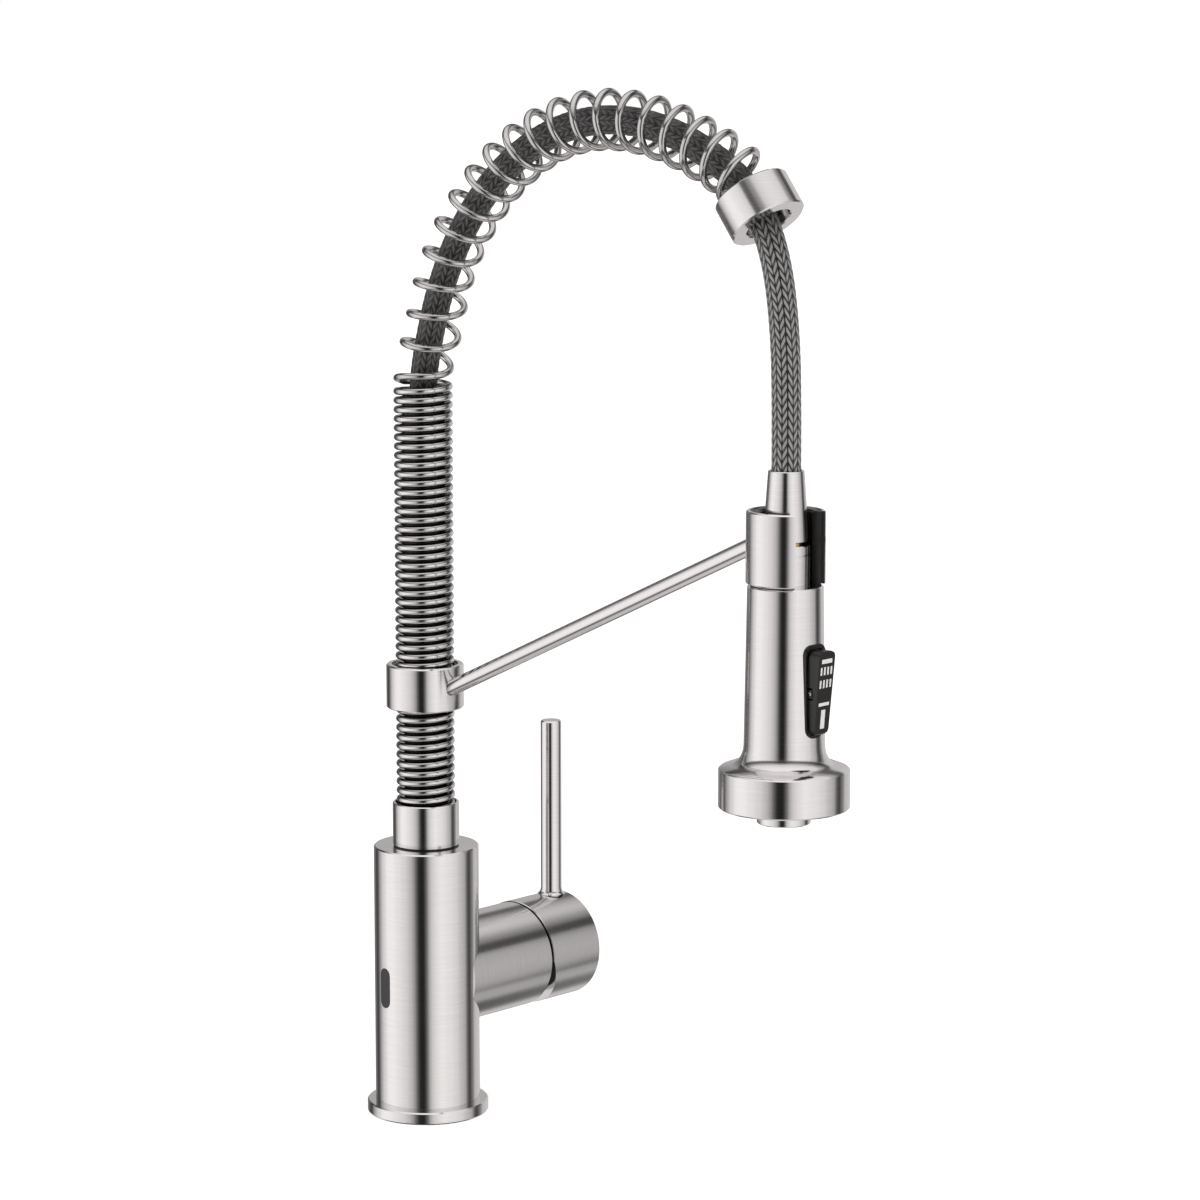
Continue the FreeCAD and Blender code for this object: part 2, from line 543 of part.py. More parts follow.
# A wedge under the axis is cut off the hub's rim, so that the hub can lean towards the housing.
WEDGE_SIDE = "2 * hub_radius"
relief = padded("relief", "YZ_Plane", [
    ("0", "0"), (f"-({WEDGE_SIDE})", "0"), (f"-({WEDGE_SIDE})", f"-({WEDGE_SIDE})"),
    (f"({WEDGE_SIDE}) * tan(hub_slope * 1 deg)", f"-({WEDGE_SIDE})")],
    "2 * hub_radius + 2", "-hub_radius - 1", y=HUB_START, z="valve_height")
stem_socket = block("stem_socket", "stem_side + 2 * fit_gap", "stem_end + fit_gap - socket_start + 1",
                    "stem_side + 2 * fit_gap", "-stem_side / 2 - fit_gap", "socket_start - 1",
                    "valve_height - stem_side / 2 - fit_gap")
lever_hole = rod("lever_hole", "lever_radius + fit_gap", "hub_radius + 1", "0", "lever_place",
                 "valve_height + lever_insert - fit_gap")
GRUB_PLACE = "(socket_start + hub_floor) / 2"
grub_hole = rod("grub_hole", "grub_radius", "hub_radius + 1", "0", GRUB_PLACE,
                "valve_height - hub_radius - 1")
node("lever_hub", cut("lever_hub", hub_blank, relief, stem_socket, lever_hole, grub_hole))
GRUB_END = "valve_height - stem_side / 2 - 2 * fit_gap"
node("hub_grub_screw", rod("hub_grub_screw", "grub_radius - fit_gap", "hub_radius - 7", "0", GRUB_PLACE,
                           f"{GRUB_END} - hub_radius + 7"))
node("hub_plug", rod("hub_plug", "grub_radius - fit_gap", "plug_depth", "0", GRUB_PLACE,
                     "valve_height - hub_radius + 0.2"))
node("lever_rod", turned("lever_rod", [
    ("0", "valve_height + lever_insert"), ("lever_radius", "valve_height + lever_insert"),
    ("lever_radius", "valve_height + hub_radius + fit_gap"),
    ("lever_foot", "valve_height + hub_radius + fit_gap"),
    ("lever_radius + 0.4", "valve_height + hub_radius + 1.2"),
    ("lever_radius", "valve_height + hub_radius + 3"),
    ("lever_radius", "lever_top - bevel"), ("lever_radius - bevel", "lever_top"), ("0", "lever_top")],
    y="lever_place"))

# Swivel and column --------------------------------------------------------------------------

node("swivel_bush", turned("swivel_bush", [
    ("bush_bore", "bush_bottom"), ("bush_radius", "bush_bottom"), ("bush_radius", "body_top + fit_gap"),
    ("bush_flange", "body_top + fit_gap"), ("bush_flange", "body_top + fit_gap + bush_flange_height"),
    ("bush_bore", "body_top + fit_gap + bush_flange_height")]))
SEAT_BOTTOM = "body_top + 2 * fit_gap + bush_flange_height"
SPIGOT = "bush_bore - run_gap"
RING_GROOVE = f"{SPIGOT} - 2 * ring_section"
seat_outline = [
    ("tube_bore", "spigot_bottom"), (SPIGOT, "spigot_bottom"), (SPIGOT, "clip_bottom - fit_gap"),
    ("clip_groove", "clip_bottom - fit_gap"), ("clip_groove", "clip_bottom + clip_thickness + fit_gap"),
    (SPIGOT, "clip_bottom + clip_thickness + fit_gap")]
for ring_height in ("ring_low", "ring_high"):
    seat_outline += [(SPIGOT, f"{ring_height} - ring_section - 0.1"),
                     (RING_GROOVE, f"{ring_height} - ring_section - 0.1"),
                     (RING_GROOVE, f"{ring_height} + ring_section + 0.1"),
                     (SPIGOT, f"{ring_height} + ring_section + 0.1")]
seat_outline += [
    (SPIGOT, SEAT_BOTTOM), ("seat_radius", SEAT_BOTTOM), ("seat_radius", "seat_top - 0.4"),
    ("seat_radius - 0.4", "seat_top"), ("seat_radius - seat_wall", "seat_top"),
    ("seat_radius - seat_wall", "seat_floor"),
    ("tube_radius + fit_gap", "seat_floor"), ("tube_radius + fit_gap", "tube_bottom"),
    ("tube_bore", "tube_bottom")]
node("spring_seat", turned("spring_seat", seat_outline))
node("swivel_clip", turned("swivel_clip", tube_section(
    "clip_groove + fit_gap", "clip_radius", "clip_bottom", "clip_bottom + clip_thickness", "0.2")))
node("swivel_rings", group("swivel_rings", *[
    ring_of("swivel_ring", f"{SPIGOT} - ring_section - 0.02", "ring_section - 0.02", ring_height)
    for ring_height in ("ring_low", "ring_high")]))
node("support_tube", turned("support_tube", [
    ("tube_bore", "tube_bottom + fit_gap"), ("tube_radius", "tube_bottom + fit_gap"),
    ("tube_radius", "tube_top - 0.4"),
    ("tube_radius - 0.4", "tube_top"), ("tube_bore + 0.3", "tube_top"), ("tube_bore", "tube_top - 0.3")]))

# Springs: a round wire wound about the column, then about the arch --------------------------

PLACES_PER_TURN = 12
TURNS_PER_RUN = 7


def wound_wire(centre, across, turns):
    """A round wire wound about a line in the XZ plane; centre(share) gives a point and its direction.

    Its skin is made in runs of a few turns that share one smooth line."""
    turn_radius = amount("coil_radius")
    steps = int(turns * PLACES_PER_TURN)
    places = []
    for step in range(steps + 1):
        point, along = centre(step / steps)
        outward = along.cross(Y_AXIS).normalize()
        angle = 2 * math.pi * step / PLACES_PER_TURN
        places.append(point + outward * (turn_radius * math.cos(angle))
                      - Y_AXIS * (turn_radius * math.sin(angle)))
    line = Part.BSplineCurve()
    line.interpolate(places)
    joints = line.getKnots()[::TURNS_PER_RUN * PLACES_PER_TURN]
    if joints[-1] < line.LastParameter:
        joints.append(line.LastParameter)
    edges = [line.toShape(first, last) for first, last in zip(joints, joints[1:])]
    start = Vector(*line.tangent(line.FirstParameter)[0])
    shell = Part.BRepOffsetAPI.MakePipeShell(Part.Wire(edges))
    shell.setFrenetMode(True)
    shell.add(Part.Wire([Part.Circle(places[0], start, across).toShape()]))
    shell.build()
    shell.makeSolid()
    return shell.shape()


WIRE = amount("wire_radius")
tight_start = amount("seat_floor + wire_radius + fit_gap")
tight_length = amount("tight_pitch * tight_turns")
tight_end = tight_start + tight_length
column_spring = doc.addObject("Part::Feature", "column_spring")
column_spring.Shape = wound_wire(
    lambda share: (Vector(0, 0, tight_start + tight_length * share), Z_AXIS), WIRE, amount("tight_turns"))
node("column_spring", column_spring)

# The arch leaves the column upright, leans forward, crests and falls to the guide ring.
fall = math.radians(amount("guide_angle"))
DRAWN_REACH = 212.8
stretch = amount("reach") / DRAWN_REACH
ring_axis = Vector(math.cos(fall), 0, -math.sin(fall))
ring_back = Vector(amount("guide_x"), 0, amount("guide_z"))
arch_end = ring_back + ring_axis * (amount("guide_recess") - WIRE - 0.1)
ARCH = [(4.6, 355), (12.6, 381), (26.2, 407), (45.5, 429), (70.5, 446.3), (98, 455.6), (125, 456.8),
        (150, 452.0), (173, 443.4)]
arch_line = Part.BSplineCurve()
arch_line.interpolate(
    [Vector(0, 0, tight_end + 0.02)] + [Vector(x * stretch, 0, z) for x, z in ARCH] + [arch_end],
    InitialTangent=Z_AXIS * 40, FinalTangent=ring_axis * 40)
arch_length = arch_line.length()
OPENING = 0.098


def on_arch(share):
    """The open turns lie a little wider apart near the column than near the guide ring."""
    place = arch_line.parameterAtDistance(arch_length * share * (1 + OPENING - OPENING * share))
    return arch_line.value(place), Vector(*arch_line.tangent(place)[0])


arch_spring = doc.addObject("Part::Feature", "arch_spring")
arch_spring.Shape = wound_wire(on_arch, WIRE, amount("open_turns"))
node("arch_spring", arch_spring)
GUIDE_TURN = (Y_AXIS, 90 + amount("guide_angle"))
guide_ring = turned("guide_ring", [
    ("coil_radius + wire_radius + 0.3", "0"), ("guide_radius - bevel", "0"), ("guide_radius", "bevel"),
    ("guide_radius", "guide_length - bevel"), ("guide_radius - bevel", "guide_length"),
    ("guide_bore + 0.5", "guide_length"), ("guide_bore", "guide_length - 0.5"),
    ("guide_bore", "guide_recess"), ("coil_radius + wire_radius + 0.3", "guide_recess")],
    x="guide_x", z="guide_z", turn=GUIDE_TURN)
bind(guide_ring, Placement__Rotation__Angle="guide_angle + 90")
node("guide_ring", guide_ring)

# Arm: collar on the column, rod, dock for the spray head ------------------------------------

ARM_RUN = "reach"
ARM_RISE = "arm_head - arm_foot"
arm_slope = math.degrees(math.atan2(amount(ARM_RISE), amount(ARM_RUN)))
ARM_TURN = (Y_AXIS, 90 - arm_slope)
ARM_COS = f"(({ARM_RUN}) / sqrt(({ARM_RUN})^2 + ({ARM_RISE})^2))"


def arm_bar(name, radius, start_x, end_x):
    """A round bar on the arm's line between two distances from the column axis."""
    item = doc.addObject("Part::Cylinder", name)
    bind(item, Radius=radius, Height=f"(({end_x}) - ({start_x})) / {ARM_COS}")
    put(item, start_x, "0", f"arm_foot + ({start_x}) * ({ARM_RISE}) / ({ARM_RUN})", ARM_TURN)
    bind(item, Placement__Rotation__Angle=f"90 deg - atan2({ARM_RISE}; {ARM_RUN})")
    return item


ROD_START = "collar_radius - arm_insert"
ROD_END = "reach - dock_radius + 4"
SADDLE_TOP = "dock_top - dock_bottom + 20"
saddle = rod("saddle", "dock_radius - arm_insert", SADDLE_TOP, "reach", "0", "dock_bottom - 10")
node("arm_rod", cut("arm_rod", arm_bar("arm_bar", "arm_radius", ROD_START, ROD_END), saddle))
collar_blank = turned("collar_blank",
    tube_section("liner_radius + fit_gap", "collar_radius", "collar_bottom", "collar_top"))
collar_socket = arm_bar("collar_socket", "arm_radius + fit_gap", f"{ROD_START} - fit_gap",
                        "collar_radius + 6")
COLLAR_MIDDLE = "(collar_bottom + collar_top) / 2"
collar_grub_hole = rod("collar_grub_hole", "grub_radius", "6", "-collar_radius - 1", "0", COLLAR_MIDDLE,
                       ALONG_X)
node("arm_collar", cut("arm_collar", collar_blank, collar_socket, collar_grub_hole))
liner_blank = turned("liner_blank",
    tube_section("liner_bore", "liner_radius", "collar_bottom + 0.6", "collar_top - 0.6", "0.2"))
liner_split = block("liner_split", "6", "1.2", "collar_top - collar_bottom", "liner_bore - 1", "-0.6",
                    "collar_bottom")
node("collar_liner", cut("collar_liner", liner_blank, liner_split))
node("collar_grub_screw", rod("collar_grub_screw", "grub_radius - fit_gap",
                              "collar_radius - liner_radius - 0.4",
                              "-collar_radius + 0.2", "0", COLLAR_MIDDLE, ALONG_X))


def at_dock(name, corners):
    """A turned piece on the spray head's axis."""
    return turned(name, corners, x="reach")


def dock_slot(name, side_play):
    return block(name, "dock_radius + 2", f"2 * (dock_slot + {side_play})", "dock_top - dock_bottom + 4",
                 "reach", f"-dock_slot - {side_play}", "dock_bottom - 2")


LINER_OUTER = "dock_radius - dock_wall"
dock_blank = at_dock("dock_blank", tube_section(LINER_OUTER, "dock_radius", "dock_bottom", "dock_top"))
socket_bar = arm_bar("socket_bar", "arm_radius + fit_gap", "reach - dock_radius - 6", ROD_END)
socket_floor = rod("socket_floor", "dock_radius - arm_insert - fit_gap", SADDLE_TOP, "reach", "0",
                   "dock_bottom - 10")
dock_socket = cut("dock_socket", socket_bar, socket_floor)
dock_grub_hole = rod("dock_grub_hole", "grub_radius", "dock_wall + 2", "reach - dock_radius - 1", "0",
                     "dock_screw_height", ALONG_X)
node("dock_ring", cut("dock_ring", dock_blank, dock_slot("ring_slot", "0"), dock_socket, dock_grub_hole))
liner_tube = at_dock("liner_tube", [
    (f"{LINER_OUTER} - dock_liner", "shoulder_height + fit_gap"),
    (f"{LINER_OUTER} - fit_gap", "shoulder_height + fit_gap"),
    (f"{LINER_OUTER} - fit_gap", "dock_top - 0.4"), (f"{LINER_OUTER} - dock_liner + 0.8", "dock_top - 0.4"),
    (f"{LINER_OUTER} - dock_liner", "dock_top - 1.4")])
node("dock_liner", cut("dock_liner", liner_tube, dock_slot("liner_slot", "-1.2")))
node("dock_grub_screw", rod("dock_grub_screw", "grub_radius - fit_gap", "dock_wall - 0.6",
                            "reach - dock_radius + 0.3",
                            "0", "dock_screw_height", ALONG_X))

# Hose: from the shank's mouth up the column, round the arch and down to its nut -------------

HOSE = [(0, -44), (0, 338), (4.3, 357.5), (12.0, 381.8), (25.6, 407.5), (45.0, 429.6), (70.1, 447.0),
        (97.8, 456.3),
        (125, 457.5), (150.3, 452.7), (172.4, 443.2), (189, 432.5), (200.5, 417.5), (207.5, 399),
        (211.2, 376),
        (212.8, 348)]


def rounded_path(corners):
    """Straight runs joined by tangent arcs, each as large as its two runs allow."""
    edges = []
    start = corners[0]
    for before, corner, after in zip(corners, corners[1:], corners[2:]):
        into = (corner - before).normalize()
        out = (after - corner).normalize()
        turn = into.getAngle(out)
        reach = 0.45 * min((corner - before).Length, (after - corner).Length)
        first = corner - into * reach
        last = corner + out * reach
        middle_way = (out - into).normalize()
        radius = reach / math.tan(turn / 2)
        inside = corner + middle_way * (radius / math.cos(turn / 2) - radius)
        print("hose arc radius", round(radius, 1), "turn", round(math.degrees(turn), 1))
        edges.append(Part.LineSegment(start, first).toShape())
        edges.append(Part.Arc(first, inside, last).toShape())
        start = last
    edges.append(Part.LineSegment(start, corners[-1]).toShape())
    return Part.Wire(edges)


route = [Vector(x * stretch, 0, z) for x, z in HOSE]
route.append(Vector(amount("reach"), 0, amount("nut_top - 6")))
hose_path = rounded_path(route)
hose_section = Part.Wire([Part.Circle(route[0], Z_AXIS, amount("hose_radius")).toShape()])
spray_hose = doc.addObject("Part::Feature", "spray_hose")
spray_hose.Shape = hose_path.makePipeShell([hose_section], True, False)
node("spray_hose", spray_hose)
print("hose length", round(hose_path.Length, 1), "volume ratio",
      round(spray_hose.Shape.Volume / (math.pi * amount("hose_radius") ** 2 * hose_path.Length), 4))
node("hose_connector", turned("hose_connector", [
    ("3.2", "-62"), ("6.4", "-62"), ("6.4", "-57"), ("7.6", "-56"), ("7.6", "-44 - fit_gap"),
    ("3.2", "-44 - fit_gap")]))

# Hose end: nut, ferrule, coupling and washer ------------------------------------------------

node("hose_nut", at_dock("hose_nut", [
    ("hose_radius + 0.25", "nut_top"), ("nut_top_radius - 0.3", "nut_top"),
    ("nut_top_radius", "nut_top - 0.3"),
    ("(nut_top_radius + nut_bottom_radius) / 2 + 0.1", "nut_waist"),
    ("nut_bottom_radius", "nut_bottom + 0.3"),
    ("nut_bottom_radius - 0.3", "nut_bottom"), ("coupling_radius + fit_gap", "nut_bottom"),
    ("coupling_radius + fit_gap", "nut_top - 6"), ("hose_radius + 0.25", "nut_top - 4")]))
node("hose_ferrule", at_dock("hose_ferrule", [
    ("3.0", "ferrule_bottom"), ("coupling_radius - 0.3", "ferrule_bottom"),
    ("coupling_radius - 0.3", "nut_top - 6 - fit_gap"), ("3.0", "nut_top - 6 - fit_gap")]))
node("hose_washer", at_dock("hose_washer", [
    ("coupling_bore", "ferrule_bottom - 2"), ("coupling_radius - 0.3", "ferrule_bottom - 2"),
    ("coupling_radius - 0.3", "ferrule_bottom - fit_gap"), ("coupling_bore", "ferrule_bottom - fit_gap")]))
NECK_BORE = "coupling_radius + run_gap"
node("swivel_coupling", at_dock("swivel_coupling", [
    ("coupling_bore", "coupling_bottom"), ("coupling_radius + 1.4", "coupling_bottom"),
    ("coupling_radius + 1.4", "coupling_bottom + 2.5"), ("coupling_radius", "coupling_bottom + 2.5"),
    ("coupling_radius", "ferrule_bottom - 2 - fit_gap"), ("coupling_bore", "ferrule_bottom - 2 - fit_gap")]))

# Spray head ---------------------------------------------------------------------------------

FLARE_STEPS = 6
flare = []
for step in range(FLARE_STEPS + 1):
    angle = math.radians(90 * step / FLARE_STEPS)
    flare.append((f"grip_radius + (flare_radius - grip_radius) * {1 - math.cos(angle):.5f}",
                  f"flare_foot + (flare_start - flare_foot) * {1 - math.sin(angle):.5f}"))
PLATE_SEAT = "bell_bottom + plate_thickness + 0.4"
spray_outline = [
    (NECK_BORE, "neck_top"), ("neck_radius - 0.4", "neck_top"), ("neck_radius", "neck_top - 0.4"),
    ("neck_radius", "neck_groove + 0.35"), ("neck_radius - 0.5", "neck_groove + 0.35"),
    ("neck_radius - 0.5", "neck_groove - 0.35"), ("neck_radius", "neck_groove - 0.35"),
    ("neck_radius", "shoulder_height"), ("spray_radius - bevel", "shoulder_height"),
    ("spray_radius", "shoulder_height - bevel")]
spray_outline += flare
spray_outline += [
    ("bell_radius - bevel", "bell_top"), ("bell_radius", "bell_top - bevel"),
    ("bell_radius", "bell_bottom + bevel"),
    ("bell_radius - bevel", "bell_bottom"), ("bell_radius - shell_wall", "bell_bottom"),
    ("bell_radius - shell_wall", "bell_top - shell_wall"),
    ("core_radius + 2 * fit_gap", "bell_top - shell_wall"),
    ("core_radius + 2 * fit_gap", "shoulder_height - 2.4"),
    ("coupling_radius + 1.4 + run_gap", "shoulder_height - 2.4"),
    ("coupling_radius + 1.4 + run_gap", "coupling_bottom + 2.5 + run_gap"),
    (NECK_BORE, "coupling_bottom + 2.5 + run_gap")]
shell_blank = at_dock("shell_blank", spray_outline)


ARC_STEPS = 5


def button_plate(name, top, bottom, wide, narrow, inner, outer, corner):
    """A plate across +X with a tapered outline and round corners, between two distances from the axis."""
    corners = []
    for side, level, half, start in ((1, top, wide, 0), (-1, top, wide, 90), (-1, bottom, narrow, 180),
                                     (1, bottom, narrow, 270)):
        rise = 1 if level == top else -1
        for step in range(ARC_STEPS + 1):
            angle = math.radians(start + 90 * step / ARC_STEPS)
            corners.append((f"{side} * (({half}) - ({corner})) + ({corner}) * {math.cos(angle):.6f}",
                            f"({level}) - {rise} * ({corner}) + ({corner}) * {math.sin(angle):.6f}"))
    return padded(name, "YZ_Plane", corners, f"({outer}) - ({inner})", inner, x="reach")


panel_hole = button_plate("panel_hole", "panel_top + fit_gap", "panel_bottom - fit_gap",
                          "panel_wide + fit_gap",
                          "panel_narrow + fit_gap", "panel_back - 0.2", "panel_face + 3", "panel_corner")
node("spray_shell", cut("spray_shell", shell_blank, panel_hole))
panel_blank = button_plate("panel_blank", "panel_top", "panel_bottom", "panel_wide", "panel_narrow",
                           "panel_back", "panel_face", "panel_corner")
panel_well = button_plate("panel_well", "rocker_top + 0.5", "rocker_bottom - 0.5", "rocker_wide + 0.5",
                          "rocker_narrow + 0.5",
                          "panel_back + 0.8", "panel_face + 1", "panel_corner - 0.8")
ear = block("ear", "rocker_pivot_place - panel_back + 1.4", "0.9", "3.6", "reach + panel_back",
            "-rocker_narrow - 0.35",
            "rocker_pivot_height - 1.8")
ear_far = block("ear_far", "rocker_pivot_place - panel_back + 1.4", "0.9", "3.6", "reach + panel_back",
                "rocker_narrow - 0.55", "rocker_pivot_height - 1.8")
panel_dish = cut("panel_dish", panel_blank, panel_well)
panel_ears = joined("panel_ears", panel_dish, ear, ear_far)
panel_pin_hole = rod("panel_pin_hole", "rocker_pin", "20", "reach + rocker_pivot_place", "-10",
                     "rocker_pivot_height", ALONG_Y)
node("button_panel", cut("button_panel", panel_ears, panel_pin_hole))

core_blank = at_dock("core_blank", [
    ("core_bore", "core_bottom"), ("core_radius", "core_bottom"), ("core_radius", "core_top"),
    ("check_radius + fit_gap", "core_top"), ("check_radius + fit_gap", "check_top - check_height"),
    ("core_bore", "check_top - check_height")])
core_flat = block("core_flat", "8", "2 * core_radius", "core_top - core_bottom + 2",
                  "reach + panel_back - 0.6 - 3",
                  "-core_radius", "core_bottom - 1")
spool_hole = rod("spool_hole", "spool_radius + fit_gap", "30", "reach - 1", "0", "spool_height", ALONG_X)
node("water_core", cut("water_core", core_blank, core_flat, spool_hole))
node("check_valve", at_dock("check_valve", [
    ("1.6", "check_top - check_height + fit_gap"), ("check_radius", "check_top - check_height + fit_gap"),
    ("check_radius", "check_top"), ("1.6", "check_top")]))
node("diverter_spool", rod("diverter_spool", "spool_radius", "spool_length", "reach", "0", "spool_height",
                           ALONG_X))

plate_blank = at_dock("plate_blank", [
    ("aerator_radius + fit_gap", "bell_bottom + 0.4"),
    ("bell_radius - shell_wall - fit_gap", "bell_bottom + 0.4"),
    ("bell_radius - shell_wall - fit_gap", PLATE_SEAT), ("aerator_radius + fit_gap", PLATE_SEAT)])
nozzle_holes = []
nozzles = []
for ring_radius in ("nozzle_inner", "nozzle_outer"):
    for index in range(int(amount("nozzle_count"))):
        angle = 2 * math.pi * index / amount("nozzle_count")
        x = f"reach + {ring_radius} * {math.cos(angle):.6f}"
        y = f"{ring_radius} * {math.sin(angle):.6f}"
        nozzle_holes.append(rod("nozzle_hole", "nozzle_radius + fit_gap", "plate_thickness + 2", x, y,
                                "bell_bottom - 0.5"))
        nozzles.append(rod("nozzle", "nozzle_radius", "plate_thickness + nozzle_length - 0.4", x, y,
                           "bell_bottom - nozzle_length + 0.8"))
all_nozzle_holes = joined("all_nozzle_holes", *nozzle_holes)
node("spray_plate", cut("spray_plate", plate_blank, all_nozzle_holes))
node("spray_nozzles", group("spray_nozzles", *nozzles))
node("plate_gasket", at_dock("plate_gasket", [
    ("core_radius + 1", f"{PLATE_SEAT} + 1.4"), ("bell_radius - shell_wall - 2", f"{PLATE_SEAT} + 1.4"),
    ("bell_radius - shell_wall - 2", f"{PLATE_SEAT} + 3"), ("core_radius + 1", f"{PLATE_SEAT} + 3")]))
node("aerator", at_dock("aerator", tube_section(
    "aerator_radius - 1.6", "aerator_radius", "aerator_bottom", "aerator_bottom + aerator_height", "0.4")))
node("aerator_screen", at_dock("aerator_screen", solid_section(
    "aerator_radius - 1.6 - fit_gap", "aerator_bottom + 1.4", "aerator_bottom + 4", "0.2")))

# Rocker button ------------------------------------------------------------------------------

rocker_body = doc.addObject("PartDesign::Body", "rocker_body")
side_outline = sketch(rocker_body, "XZ_Plane", [
    ("rocker_back", "rocker_bottom"), ("rocker_out_bottom - 0.8", "rocker_bottom"),
    ("rocker_out_bottom", "rocker_bottom + 0.8"), ("rocker_out_top", "rocker_top - 0.8"),
    ("rocker_out_top - 0.8", "rocker_top"), ("rocker_back", "rocker_top"),
    ("rocker_pivot_place - 1.3", "rocker_pivot_height + 2"),
    ("rocker_pivot_place - 1.3", "rocker_pivot_height - 2")])
rocker_pad = rocker_body.newObject("PartDesign::Pad", "Thick")
rocker_pad.Profile = side_outline
rocker_pad.Midplane = True
bind(rocker_pad, Length="2 * rocker_wide")
put(rocker_body, x="reach")
doc.recompute()
taper = button_plate("taper", "rocker_top", "rocker_bottom", "rocker_wide", "rocker_narrow", "panel_back",
                     "rocker_out_top + 1", "panel_corner - 1.4")
rocker_shape = doc.addObject("Part::Common", "rocker_shape")
rocker_shape.Base = rocker_body
rocker_shape.Tool = taper
doc.recompute()
ear_ways = [block("ear_way", "4", "1.5", "5.2", "reach + rocker_pivot_place - 2.2", place,
                  "rocker_pivot_height - 2.6")
            for place in ("-rocker_narrow - 0.65", "rocker_narrow - 0.85")]
rocker_pin_hole = rod("rocker_pin_hole", "rocker_pin + run_gap", "20", "reach + rocker_pivot_place", "-10",
                      "rocker_pivot_height", ALONG_Y)
node("rocker_button", cut("rocker_button", rocker_shape, *ear_ways, rocker_pin_hole))
node("rocker_pin", rod("rocker_pin_bar", "rocker_pin - fit_gap", "2 * rocker_narrow + 0.6",
                       "reach + rocker_pivot_place",
                       "-rocker_narrow - 0.3", "rocker_pivot_height", ALONG_Y))

# Build check and export ---------------------------------------------------------------------

doc.recompute()
for item in doc.Objects:
    if "Invalid" in item.State or "Error" in item.State:
        raise ValueError(f"{item.Name} failed: {item.State}")
os.makedirs("parts", exist_ok=True)
for name, item in NODES.items():
    shape = item.Shape
    if shape.isNull() or not shape.isValid() or not shape.Solids:
        raise ValueError(f"{name} has no valid solid")
    shape.exportStep(f"parts/{name}.step")
print(len(NODES), "nodes")
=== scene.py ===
import json
import math

import bmesh
import bpy
import numpy as np
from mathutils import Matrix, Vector

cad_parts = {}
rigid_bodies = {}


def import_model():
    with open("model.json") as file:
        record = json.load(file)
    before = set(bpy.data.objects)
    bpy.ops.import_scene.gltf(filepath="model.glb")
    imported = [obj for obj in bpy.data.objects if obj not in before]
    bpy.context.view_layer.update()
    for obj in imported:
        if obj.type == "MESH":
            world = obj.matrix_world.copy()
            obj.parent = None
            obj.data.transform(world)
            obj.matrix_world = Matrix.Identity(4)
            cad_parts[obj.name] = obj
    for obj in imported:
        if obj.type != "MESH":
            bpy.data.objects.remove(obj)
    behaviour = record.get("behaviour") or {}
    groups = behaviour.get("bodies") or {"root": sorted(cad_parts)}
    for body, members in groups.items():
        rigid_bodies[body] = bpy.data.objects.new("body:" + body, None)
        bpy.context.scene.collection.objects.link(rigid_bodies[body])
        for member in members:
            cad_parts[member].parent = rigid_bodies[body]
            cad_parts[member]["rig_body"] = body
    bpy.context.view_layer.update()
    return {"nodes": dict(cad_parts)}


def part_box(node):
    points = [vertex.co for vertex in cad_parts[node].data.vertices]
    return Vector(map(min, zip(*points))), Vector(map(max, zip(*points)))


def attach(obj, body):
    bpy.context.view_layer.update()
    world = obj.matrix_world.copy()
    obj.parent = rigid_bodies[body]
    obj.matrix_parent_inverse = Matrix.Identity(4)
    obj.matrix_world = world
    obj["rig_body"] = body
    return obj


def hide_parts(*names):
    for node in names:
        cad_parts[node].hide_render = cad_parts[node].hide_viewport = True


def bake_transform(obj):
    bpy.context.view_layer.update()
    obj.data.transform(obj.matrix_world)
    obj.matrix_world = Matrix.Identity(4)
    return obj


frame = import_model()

# A deck-mounted kitchen faucet with a spring spout and a pull-down spray head. Metres.
# Origin on the deck plane under the centre of the base, +Z up, +X the spout's reach,
# +Y the side of the lever.

bpy.ops.object.select_all(action="DESELECT")


# Camera ---------------------------------------------------------------------
# A long lens a little above the spout's crest, in front and to the left.

CAMERA_PLACE = Vector((1.26898, -1.26229, 0.52547))
CAMERA_AIM = Vector((-0.6684, 0.7267, -0.1588))
camera_data = bpy.data.cameras.new("camera")
camera_data.lens = 120.0
camera_data.sensor_width = 36.0
camera_data.clip_start = 0.01
camera = bpy.data.objects.new("camera", camera_data)
camera.location = CAMERA_PLACE
camera.rotation_euler = CAMERA_AIM.to_track_quat("-Z", "Y").to_euler()
bpy.context.scene.collection.objects.link(camera)
bpy.context.scene.camera = camera
bpy.context.scene.view_settings.view_transform = "Standard"


# Studio ---------------------------------------------------------------------
# Tall soft lamps stand round the faucet with dark gaps between them, which draw the
# upright bands on the steel. Dark strips above and below the lamps part them from the
# bright ceiling and the floor. The floor itself is plain and pale.

